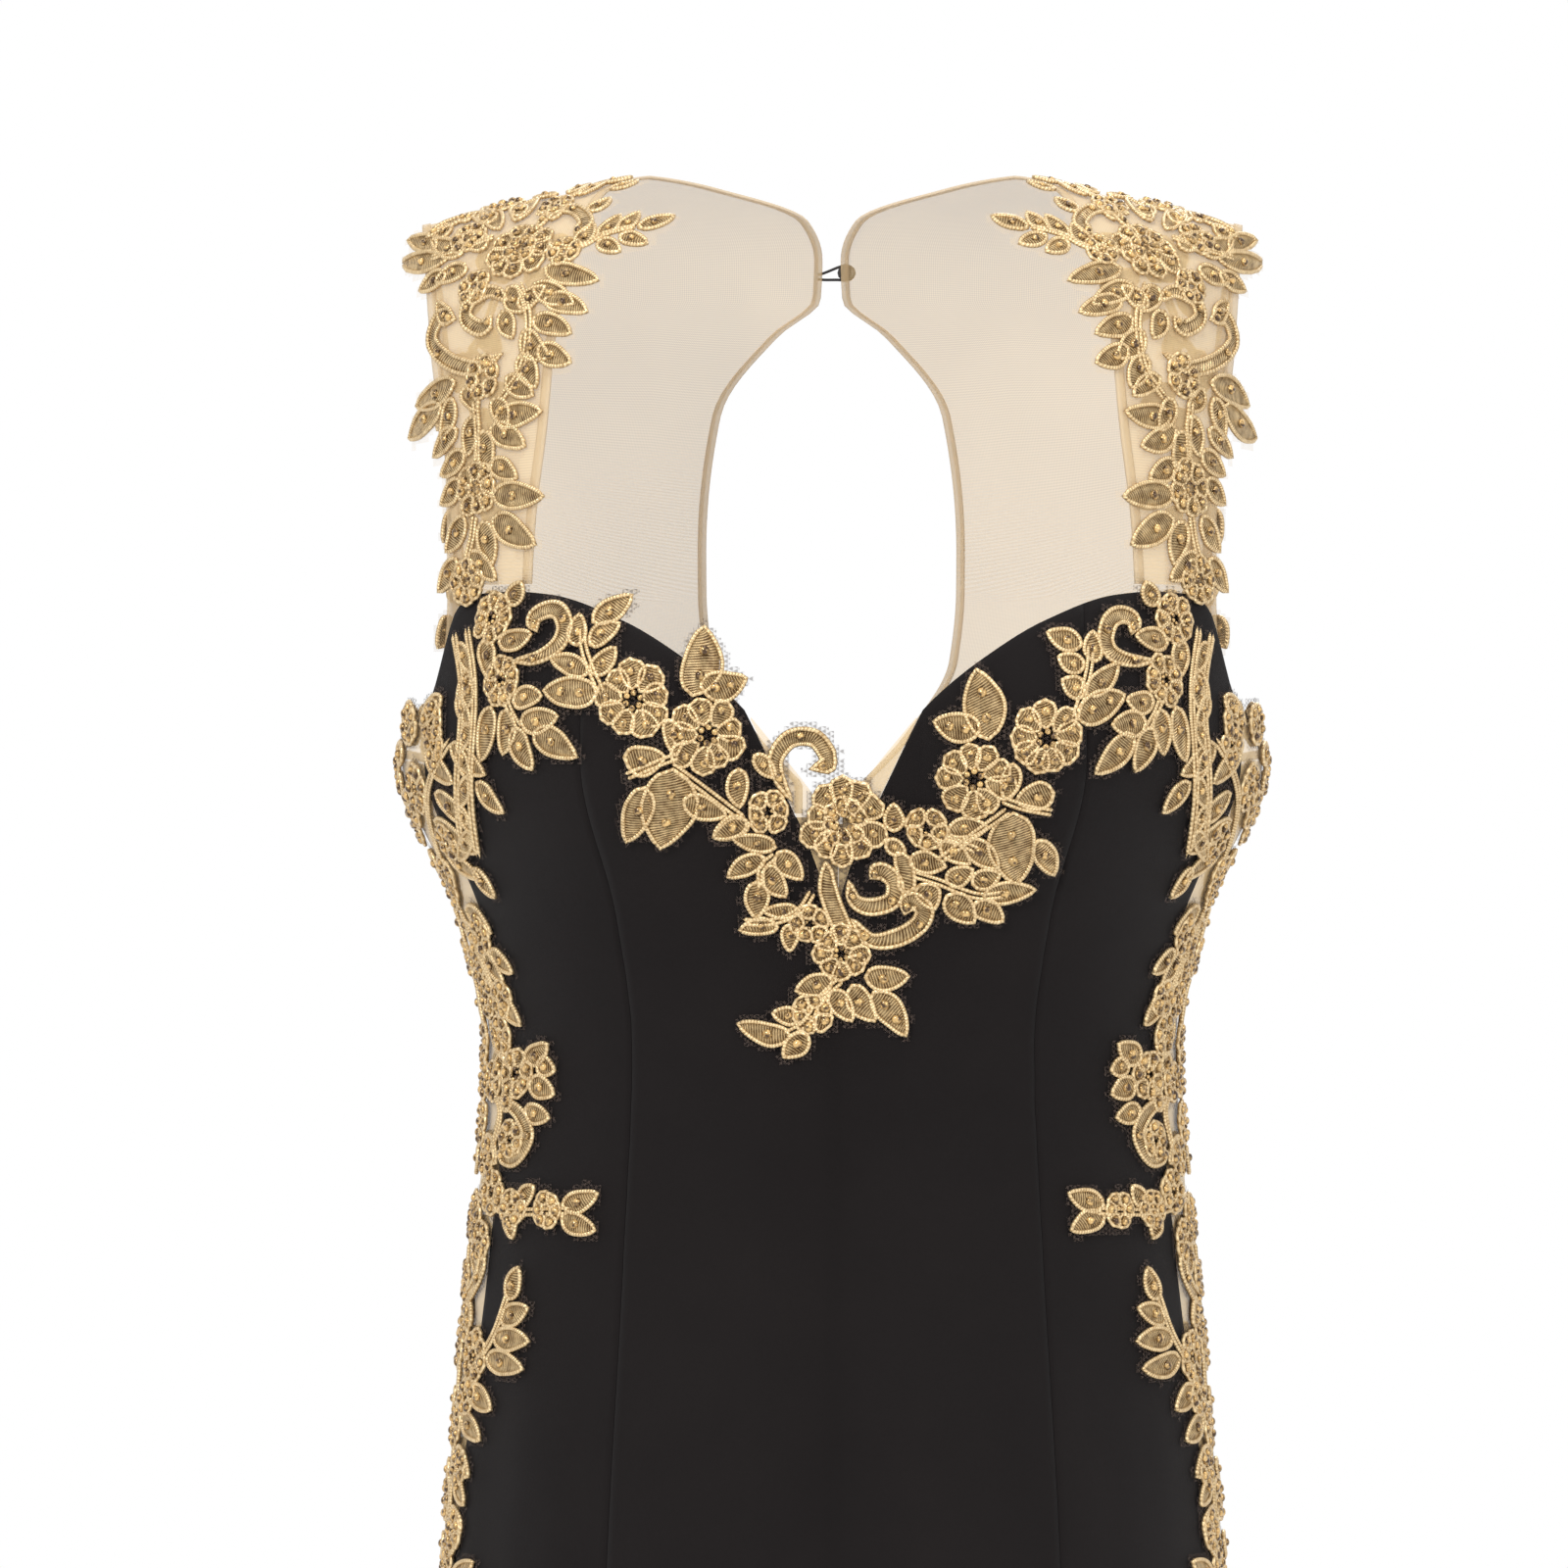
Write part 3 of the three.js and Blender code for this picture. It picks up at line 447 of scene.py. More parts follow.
ribbon = Finish("stay_ribbon", (0.62, 0.50, 0.36), 0.55)
ribbon.relief(threads(ribbon, 0.0016), 0.0003, 0.7)

braid = Finish("hem_braid", (0.020, 0.017, 0.019), 0.55)
braid.relief(threads(braid, 0.0024), 0.0004, 0.8)

casing = Finish("bone_casing", (0.022, 0.021, 0.023), 0.6)
casing.relief(casing.noise(1200, 1), 0.0002, 0.5)

# %% Metal, zip and trim finishes
nickel = Finish("dark_nickel", (0.30, 0.28, 0.25), 0.32, Metallic=1.0)
nickel.set(Roughness=nickel.noise(300) * 0.25 + 0.2)
nickel.relief(nickel.noise(2500, 2), 0.00005, 0.4)

tape = Finish("zip_tape", (0.013, 0.012, 0.013), 0.75)
_, _, up = tape.axes(tape.place())
tape.relief(stripes(up, 0.0012), 0.0002, 0.8)

coil = Finish("zip_coil", (0.018, 0.017, 0.018), 0.35)
_, _, rise = coil.axes(coil.place())
coil.relief(stripes(rise, 0.0016), 0.0006)

covered = Finish("button_cover", (0.014, 0.012, 0.013), 0.6)
covered.relief(covered.noise(1500, 2), 0.0002, 0.7)

elastic = Finish("elastic_loop", (0.018, 0.015, 0.017), 0.7)
elastic.relief(elastic.noise(2200, 1), 0.0003, 0.9)

# %% Gold lace finishes
cord_gold = Finish("gold_cord", (0.70, 0.50, 0.28), 0.33, Metallic=0.65)
length_along, around, _ = cord_gold.axes(cord_gold.place("UV"))
twist = ((length_along * (2 * math.pi / 0.0013)) + around * (2 * math.pi)).sine()
# The cord's colour is painted shade in the grooves and painted highlight on the crests of the twisted
# strands, with lighter and darker gold at random.
strand_shade_and_tone = twist * 0.2 + cord_gold.noise(420, 2)
cord_gold.set(**{"Base Color": cord_gold.blend(strand_shade_and_tone, (0.33, 0.19, 0.065), (0.98, 0.77, 0.45))})
cord_gold.relief(twist, 0.0002, 0.55)

satin_gold = Finish("satin_stitch", (0.30, 0.18, 0.07), 0.38, Metallic=0.5)
rib_across, rib_along, _ = satin_gold.axes(satin_gold.place("UV"))
ribs = stripes(rib_along + rib_across * 0.25, 0.0011)
patchy = satin_gold.noise(330, 3)
# The satin's colour is painted highlight on each stitch rib and painted shade between the ribs, with
# patches of lighter and darker gold at random.
rib_highlight_shade_and_patches = ribs * 0.36 + patchy * 1.5 - 0.25
satin_gold.set(**{"Base Color": satin_gold.blend(rib_highlight_shade_and_patches, (0.13, 0.062, 0.018), (0.93, 0.69, 0.36))})
satin_gold.relief(ribs, 0.0006)

amber = Finish("amber_bead", (0.22, 0.12, 0.04), 0.12, Metallic=0.4)
amber.set(**{"Coat Weight": 0.35, "Coat Roughness": 0.05, "Specular IOR Level": 0.4})
# The beads' colour is painted glints: stretched noise puts bright spots of painted reflection on dark
# amber.
painted_glints = amber.noise(520, 1) * 4.0 - 1.5
amber.set(**{"Base Color": amber.blend(painted_glints, (0.06, 0.028, 0.008), (0.66, 0.43, 0.17))})

tulle = Finish("lace_net", (0.075, 0.055, 0.045), 0.7)
tulle.set(**{"Specular IOR Level": 0.1})
net_x, net_y, _ = tulle.axes(tulle.place("UV"))
NET_PITCH = 0.0017  # three waves 60 degrees apart make a net with six-sided holes
straight = stripes(net_x, NET_PITCH)
rising = stripes(net_x * 0.5 + net_y * 0.866, NET_PITCH)
falling = stripes(net_x * 0.5 - net_y * 0.866, NET_PITCH)
net = (straight + rising + falling).blur(-0.6, 0.9)
tulle.set(Alpha=net * 0.5 + 0.06)
nude_tulle = Finish("nude_net", (0.62, 0.47, 0.29), 0.7)
nude_tulle.set(**{"Specular IOR Level": 0.1})
nude_tulle.set(Alpha=nude_tulle.noise(300) * 0.25 + 0.06)
print("finishes:", len(bpy.data.materials))


# %% [markdown]
# ## Panels of cloth
#
# Every panel starts as a flat grid. Its vertices move to where the panel lies on the body, and a
# thin wall is given by a Solidify modifier that grows inwards. A grid keeps the cloth's threads
# in its UV map, so this way is better than cutting panels out of one body-shaped shell.

# %% Panels between seams
ROW_ZONES = [(HIP_Z, 1), (SIDE_PANEL_END_Z, 0.7), (HEM_Z, 0.3)]


def row_height(top, bottom, v):
    """Rows lie close together over the bodice and further apart down the skirt."""
    spans = []
    start = top
    for end, density in ROW_ZONES:
        stop = max(end, bottom)
        spans.append(max(0, start - stop) * density)
        start = min(start, stop)
    left = v * sum(spans)
    z = top
    for (_, density), span in zip(ROW_ZONES, spans):
        used = min(left, span)
        z -= used / density
        left -= used
    return z


def body_panel(first, last, top, bottom, side=1):
    """A panel of the body: first and last give degrees for a height, top and bottom the reverse."""
    tops = {}

    def place(u, v):
        share = 1 - u if side > 0 else u
        if u not in tops:
            high = CUP_TOP_Z
            for _ in range(6):
                high = top(mix(first(high), last(high), share))
            tops[u] = (high, bottom(mix(first(high), last(high), share)))
        z = row_height(*tops[u], v)
        return body_point(side * mix(first(z), last(z), share), z)

    return place


def shoulder_panel(outer, inner, start, end, side=1):
    """A strip over the shoulder between two distances from the centre line."""

    def place(u, v):
        share = 1 - u if side > 0 else u
        stop = end(mix(outer(1.5), inner(1.5), share)) if callable(end) else end
        run = mix(start, stop, v)
        point = shoulder_point(mix(outer(run), inner(run), share), run)
        point.x *= side
        return point

    return place


def drape(point):
    """Moves a point of the body out by the folds and ripples of the cloth."""
    depths = FRONT_DEPTHS if point.y < 0 else BACK_DEPTHS
    out = Vector((point.x / through(WIDTHS, point.z) ** 2, point.y / through(depths, point.z) ** 2, 0))
    degrees = math.degrees(math.atan2(point.x, -point.y))
    return point + out.normalized() * (fold(degrees, point.z) + drag(point))


def fixed(value):
    return lambda _: value


# %% A sheet of cloth from a panel
def grid_of(place, columns, rows, height=0.0, moved=drape):
    """A grid whose vertices lie `height` millimetres outside place(u, v), and its arc sizes."""
    bm = bmesh.new()
    bmesh.ops.create_grid(bm, x_segments=columns, y_segments=rows, size=0.5)
    spots = {v: (round((0.5 - v.co.x) * columns), round((0.5 - v.co.y) * rows)) for v in bm.verts}
    for vert, (i, j) in spots.items():
        vert.co = moved(place(i / columns, j / rows)) * mm
    bm.normal_update()
    for vert in bm.verts:
        vert.co += vert.normal * (height * mm)
    at = {spot: vert.co for vert, spot in spots.items()}

    def longest(lines):
        return max(sum((at[a] - at[b]).length for a, b in zip(line, line[1:])) for line in lines)

    wide = longest([[(i, j) for i in range(columns + 1)] for j in range(0, rows + 1, 4)])
    long = longest([[(i, j) for j in range(rows + 1)] for i in range(0, columns + 1, 4)])
    layer = bm.loops.layers.uv.new("UVMap")
    for face in bm.faces:
        for loop in face.loops:
            i, j = spots[loop.vert]
            loop[layer].uv = (i / columns * wide, j / rows * long)
        face.smooth = True
    return bm, wide, long


def cut_size(wide, long, area):
    share = area / (wide * long)
    shrink = 1 if share > 0.35 else math.sqrt(share / 0.35)
    return wide * shrink, long * shrink


def finished(name, bm, *looks):
    """Makes an object of a bmesh, with one material for each look."""
    data = bpy.data.meshes.new(name)
    bm.to_mesh(data)
    bm.free()
    for look in looks:
        data.materials.append(look.material)
    piece = bpy.data.objects.new(name, data)
    bpy.context.collection.objects.link(piece)
    return piece


def thicken(piece, faces):
    """Gives a sheet a wall that grows inwards from its outer face."""
    wall = piece.modifiers.new("wall", "SOLIDIFY")
    wall.thickness = (faces[0] - faces[1]) * mm
    wall.offset = -1


def stands_for(piece, node):
    """Shows a piece on the gown in place of one of the frame's solids."""
    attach(piece, "gown")
    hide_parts(node)


def cloth(node, place, size, faces, look, moved=drape):
    """A sheet that replaces a node. faces are the heights of its outer and inner face."""
    bm, wide, long = grid_of(place, *size, faces[0], moved)
    area = sum(face.calc_area() for face in bm.faces)
    piece = finished(node + "_cloth", bm, look)
    if faces[1] is not None:
        thicken(piece, faces)
    stands_for(piece, node)
    area = min(area, wide * long)
    if min(wide, long) > 12 * mm:  # a narrower strip is a trim on its sheet
        cut_size(wide, long, area)
    print(f"{piece.name}: {wide * 1000:.0f} x {long * 1000:.0f} mm, {area * 1e4:.0f} cm2")


# %% [markdown]
# ## The black jersey
#
# Five long panels make the gown's outside: one in front, one at each side of it, and two at the
# back with the zip between. They run from the neckline to the hem without a waist seam, which is
# why a fitted jersey gown looks so smooth. Fine gaps between them read as seams.

# %% Jersey panels
SIDES = [("left", 1), ("right", -1)]


def princess(z):
    return PRINCESS - gap_degrees(SEAM_HALF, z)


front = body_panel(lambda z: -princess(z), princess, inset_edge, fixed(HEM_Z))
cloth("front_panel", front, (48, 170), JERSEY_FACES, jersey)
for name, side in SIDES:
    side_front = body_panel(
        lambda z: PRINCESS + gap_degrees(SEAM_HALF, z),
        lambda z: side_seam(z) - gap_degrees(SEAM_HALF, z),
        front_top,
        fixed(HEM_Z),
        side,
    )
    cloth(f"side_front_{name}", side_front, (28, 170), JERSEY_FACES, jersey)
    back = body_panel(
        lambda z: 180 - side_seam(z) + gap_degrees(SEAM_HALF, z),
        centre_seam,
        back_top,
        fixed(HEM_Z),
        side,
    )
    cloth(f"back_panel_{name}", back, (40, 160), JERSEY_FACES, jersey)

# %% [markdown]
# ## The sheer mesh
#
# The bodice's sides, the shoulders and the small V in the middle are nude mesh, which hides the
# joins of the lace and leaves it floating on the skin. One layer of faces is enough, and the
# material's alpha lets what is behind show through the weave.

# %% Mesh pieces and their bindings
inset_degrees = degrees_at(0.9 * INSET_HALF, NECK_V_Z)
inset = body_panel(
    fixed(-inset_degrees), fixed(inset_degrees), front_top, lambda d: inset_edge(d) + SEAM_GAP
)
cloth("centre_mesh_inset", inset, (24, 20), MESH_FACES, mesh_cloth)


def strap_edge(knots, inset):
    return lambda run: through(knots, run) + inset


def as_it_is(point):
    return point


bare = 0.5 * BINDING_WIDTH  # the mesh's edge lies inside the folded binding
shoulder_gap = SEAM_GAP / 2 / BACK_RUN
for name, side in SIDES:
    net_side = body_panel(
        lambda z: side_seam(z) - gap_degrees(SEAM_HALF, z),
        lambda z: 180 - side_seam(z) + gap_degrees(SEAM_HALF, z),
        top_at,
        fixed(SIDE_PANEL_END_Z + 3),
        side,
    )
    cloth(f"side_mesh_{name}", net_side, (20, 110), SIDE_MESH_FACES, mesh_cloth)
    outer, inner = strap_edge(STRAP_OUTER, -bare), strap_edge(STRAP_INNER, bare)
    strap = shoulder_panel(outer, inner, -1 + 2 * shoulder_gap, -shoulder_gap, side)
    cloth(f"strap_mesh_{name}", strap, (20, 50), MESH_FACES, mesh_cloth, moved=as_it_is)
    yoke = shoulder_panel(outer, inner, shoulder_gap, yoke_end, side)
    cloth(f"back_yoke_{name}", yoke, (30, 80), MESH_FACES, mesh_cloth, moved=as_it_is)
    neck = strap_edge(STRAP_INNER, BINDING_WIDTH), strap_edge(STRAP_INNER, 0)
    arm = strap_edge(STRAP_OUTER, 0), strap_edge(STRAP_OUTER, -BINDING_WIDTH)
    for edge, (far, near) in (("neck", neck), ("armhole", arm)):
        strip = shoulder_panel(far, near, -1 + 2 * shoulder_gap, yoke_end, side)
        node = f"{edge}_binding_{name}"
        cloth(node, strip, (4, 150), BINDING_FACES, satin_edge, moved=as_it_is)
    start = degrees_at(0.965 * BUST_HALF, UNDERARM_Z)
    stop = 179 - degrees_at(through(STRAP_OUTER, 1.6), UNDERARM_Z)
    hem = body_panel(
        fixed(start),
        fixed(stop),
        lambda d: top_at(d) + 1.3 * SEAM_GAP + BINDING_WIDTH,
        lambda d: top_at(d) + 1.3 * SEAM_GAP,
        side,
    )
    cloth(f"underarm_binding_{name}", hem, (40, 4), BINDING_FACES, satin_edge)

# %% [markdown]
# ## Inside the gown
#
# The lining hides the bones and cups and stops short of the hem. A ribbon stay round the waist
# carries the gown's weight, and a wide braid stiffens the hem.

# %% Lining, stay, braid and cups
def lining_edge(z):
    return side_seam(z) - 1.2


end = SIDE_PANEL_END_Z
front_inside = body_panel(
    lambda z: -lining_edge(z), lining_edge, lambda d: inset_edge(d) - 3, fixed(end)
)
cloth("front_lining", front_inside, (60, 90), LINING_FACES, lining)
for name, side in SIDES:
    back_inside = body_panel(
        lambda z: 180 - lining_edge(z),
        lambda z: centre_seam(z) - gap_degrees(3, z),
        lambda d: top_at(d) - 3,
        fixed(end),
        side,
    )
    cloth(f"back_lining_{name}", back_inside, (28, 80), LINING_FACES, lining)


def ring(reach, top, bottom):
    return lambda u, v: body_point(mix(reach, -reach, u), mix(top, bottom, v))


skirt = ring(179.7, end - SEAM_GAP, HEM_Z + 60)
cloth("skirt_lining", skirt, (160, 60), LINING_FACES, lining)
hem_ring = ring(179.6, HEM_Z + 50, HEM_Z + 0.5)
cloth("hem_braid", hem_ring, (160, 8), BRAID_FACES, braid)
stay = ring(180 - gap_degrees(7, WAIST_Z), WAIST_Z + 10, WAIST_Z - 10)
cloth("waist_stay", stay, (160, 4), STAY_FACES, ribbon)
cup_near, cup_far = degrees_at(0.18 * BUST_HALF, BUST_Z), degrees_at(0.82 * BUST_HALF, BUST_Z)


def cup_bottom(degrees):
    t = min(max((abs(degrees) - cup_near) / (cup_far - cup_near), 0), 1)
    return mix(front_top(degrees) - 16, BUST_Z - 62, math.sin(math.pi * t) ** 0.6)


for name, side in SIDES:
    shape = body_panel(fixed(cup_near), fixed(cup_far), lambda d: front_top(d) - 4, cup_bottom, side)
    bm, _, _ = grid_of(shape, 30, 30, CUP_FACES[0])
    cup = finished(f"bust_cup_{name}_foam", bm, foam)
    thicken(cup, CUP_FACES)
    stands_for(cup, f"bust_cup_{name}")

# %% [markdown]
# ## Bones, hooks and the zip
#
# These nodes already have their real shape, so they keep it and only take a finish.

# %% Finishes on the frame's own nodes
looks = {"bone": casing, "zip_tape": tape, "zip_teeth": coil, "button": covered}
metal_words = ["zip_slider", "zip_pull", "zip_bottom_stop", "hook", "eye", "stay_bar"]
looks.update({word: nickel for word in metal_words})
for node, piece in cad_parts.items():
    for word, look in looks.items():
        if word in node:
            piece.data.materials.clear()
            piece.data.materials.append(look.material)
            print(node, "->", look.material.name)
            break

# %% [markdown]
# ## The loop at the nape
#
# A fine elastic is sewn to the right yoke's edge, crosses the opening and goes round the button on
# the left yoke. Rings of eight points along its path make the cord.

# %% The nape loop
LOOP_RADIUS, ELASTIC_RADIUS, LOOP_DROP = 3.6 * mm, 0.55 * mm, 2.8 * mm
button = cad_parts["nape_button"]
button_middle = sum((button.matrix_world @ v.co for v in button.data.vertices), Vector())
button_middle /= len(button.data.vertices)
ACROSS, OUTWARD = Vector((1, 0, 0)), Vector((0, 0.8, 0.6))
UPWARD = ACROSS.cross(OUTWARD)


def loop_end(sign, share):
    """A point between the right yoke's edge, at 0, and the button's side, at 1."""
    spread = sign * through([(0, 1.0 * mm), (1, LOOP_RADIUS)], share)
    out = LOOP_DROP * (ease(share, 0, 1) - 1)
    back = 2 * button_middle.x * (share - 1)
    return button_middle + ACROSS * back + UPWARD * spread + OUTWARD * out


loop_path = [loop_end(1, step / 8) for step in range(8)]
for step in range(17):
    turn = math.pi * (0.5 - step / 16)
    loop_path.append(button_middle + (ACROSS * math.cos(turn) + UPWARD * math.sin(turn)) * LOOP_RADIUS)
loop_path += [loop_end(-1, 1 - step / 8) for step in range(1, 9)]

bm = bmesh.new()
rings = []
for index, point in enumerate(loop_path):
    before, after = loop_path[max(index - 1, 0)], loop_path[min(index + 1, len(loop_path) - 1)]
    along = (after - before).normalized()
    sideways = along.cross(OUTWARD).normalized()
    upright = sideways.cross(along)
    turns = [math.pi * step / 4 for step in range(8)]
    spots = [point + (sideways * math.cos(t) + upright * math.sin(t)) * ELASTIC_RADIUS for t in turns]
    rings.append([bm.verts.new(spot) for spot in spots])
for first, second in zip(rings, rings[1:]):
    for step in range(8):
        bm.faces.new((first[step], first[step - 1], second[step - 1], second[step]))
bm.faces.new(rings[0])
bm.faces.new(rings[-1][::-1])
bmesh.ops.recalc_face_normals(bm, faces=bm.faces)
for face in bm.faces:
    face.smooth = True
nape_loop = finished("nape_loop_elastic", bm, elastic)
stands_for(nape_loop, "nape_loop")
print("nape loop:", len(rings), "rings")

# %% [markdown]
# ## A form to drape the lace on
#
# The lace is stiff with cord, so it keeps the body's shape even where it stands above the
# neckline. A hidden form of the whole body, shoulders and chest gives each motif a place to lie,
# through a search tree that finds the nearest point of a surface.

# %% The form
def add_form_patch(bm, place, columns, rows, moved):
    patch = bmesh.new()
    bmesh.ops.create_grid(patch, x_segments=columns, y_segments=rows, size=0.5)
    for vert in patch.verts:
        vert.co = moved(place(0.5 - vert.co.x, 0.5 - vert.co.y))
    data = bpy.data.meshes.new("patch")
    patch.to_mesh(data)
    patch.free()
    bm.from_mesh(data)
    bpy.data.meshes.remove(data)


form_mesh = bmesh.new()
torso = ring(180, CUP_TOP_Z, -760)
add_form_patch(form_mesh, torso, 180, 150, drape)
chest = shoulder_panel(fixed(172), fixed(-172), -1, 1.9, 1)
add_form_patch(form_mesh, chest, 120, 90, as_it_is)
form = bvhtree.BVHTree.FromBMesh(form_mesh)
print("form faces:", len(form_mesh.faces))
form_mesh.free()


def seat(point, height=0.0):
    """The nearest point of the form, raised off it, and the form's normal there."""
    spot, normal, _, _ = form.find_nearest(point)
    return spot + normal * height, normal


def from_front(x, z):
    """Where a level line from the front at (x, z) meets the form."""
    spot, _, _, _ = form.ray_cast(Vector((x, -400, z)), Vector((0, 1, 0)))
    return spot if spot and spot.y < 30 else seat(Vector((x, -20, z)))[0]


def from_back(x, z):
    spot, _, _, _ = form.ray_cast(Vector((x, 400, z)), Vector((0, -1, 0)))
    return spot if spot and spot.y > 0 else seat(Vector((x, 30, z)))[0]


def from_side(degrees, z):
    """A point by degrees forward of the wearer's side and by height."""
    return drape(body_point(90 - degrees, z))


# %% [markdown]
# ## Corded lace
#
# Gold lace like this is made of a few motifs, sewn again and again: leaves, flowers and scrolls.
# Each has a twisted cord sewn round its outline, satin stitches across its middle and glass beads.
# One small mesh of each kind is made once with bmesh operators. A motif is a copy of it, whose
# vertices are moved along the motif's own curve and then laid on the form.

# %% Small meshes to copy
CORD, STITCH, BEAD = 0, 1, 2


def template(name, bm, slot, welded=""):
    """A mesh to copy. welded names the axes whose two ends are the same line, as round a tube."""
    layer = bm.loops.layers.uv.new("UVMap")
    for face in bm.faces:
        face.smooth = True
        face.material_index = slot
        for loop in face.loops:
            loop[layer].uv = loop.vert.co.xy
    for axis in welded:
        side = "xy".index(axis)
        first = {round(v.co[1 - side], 4): v for v in bm.verts if v.co[side] < 1e-4}
        last = [v for v in bm.verts if v.co[side] > 1 - 1e-4]
        bmesh.ops.weld_verts(bm, targetmap={v: first[round(v.co[1 - side], 4)] for v in last})
    data = bpy.data.meshes.new(name)
    bm.to_mesh(data)
    bm.free()
    return data


def grid_template(name, columns, rows, slot, welded=""):
    """A square from 0 to 1 in x and y."""
    bm = bmesh.new()
    bmesh.ops.create_grid(bm, x_segments=columns, y_segments=rows, size=0.5)
    bmesh.ops.translate(bm, verts=bm.verts, vec=(0.5, 0.5, 0))
    return template(name, bm, slot, welded)


TUBE_SIDES = 5
loop_mesh = grid_template("cord_loop", 22, TUBE_SIDES, CORD, "yx")
long_loop = grid_template("long_loop", 64, TUBE_SIDES, CORD, "yx")
petal_cord = grid_template("petal_cord", 14, TUBE_SIDES, CORD, "yx")
line_mesh = grid_template("cord_line", 30, TUBE_SIDES, CORD, "y")
stitch_mesh = grid_template("stitches", 6, 8, STITCH)
petal_stitch = grid_template("petal_stitches", 4, 5, STITCH)
band_mesh = grid_template("band_stitches", 4, 26, STITCH)
bead_bm = bmesh.new()
bmesh.ops.create_icosphere(bead_bm, subdivisions=2, radius=1)
bead_mesh = template("bead", bead_bm, BEAD)


def leaf_width(t):
    """A leaf's half width along its length: round at the base, widest below the middle, pointed."""
    return math.sin(math.pi * t**0.78) ** 0.72


def petal_width(t):
    """A petal's half width: narrow at the flower's middle and round at its end."""
    return max(math.sin(math.pi * t) ** 0.5 * (0.55 + 0.5 * t), 0.0)


def smooth_line(points, t):
    """A point of a smooth curve (Catmull-Rom) through points, with t from 0 to 1."""
    spans = len(points) - 1
    n = min(int(t * spans), spans - 1)
    t = t * spans - n
    b, c = points[n], points[n + 1]
    a = points[n - 1] if n else b * 2 - c
    d = points[n + 2] if n + 2 <= spans else c * 2 - b
    return ((b * 2) + (c - a) * t + (a * 2 - b * 5 + c * 4 - d) * t**2 + (b * 3 - a - c * 3 + d) * t**3) / 2


def heading(points, t):
    """The curve's direction at t."""
    return (smooth_line(points, min(t + 0.01, 1)) - smooth_line(points, max(t - 0.01, 0))).normalized()


def there_and_back(p):
    """For a place round a long outline: the share along it, and the side it is on."""
    p = p % 1
    return (2 * p, 1) if p < 0.5 else (2 - 2 * p, -1)


def line_length(points):
    return sum((b - a).length for a, b in zip(points, points[1:]))


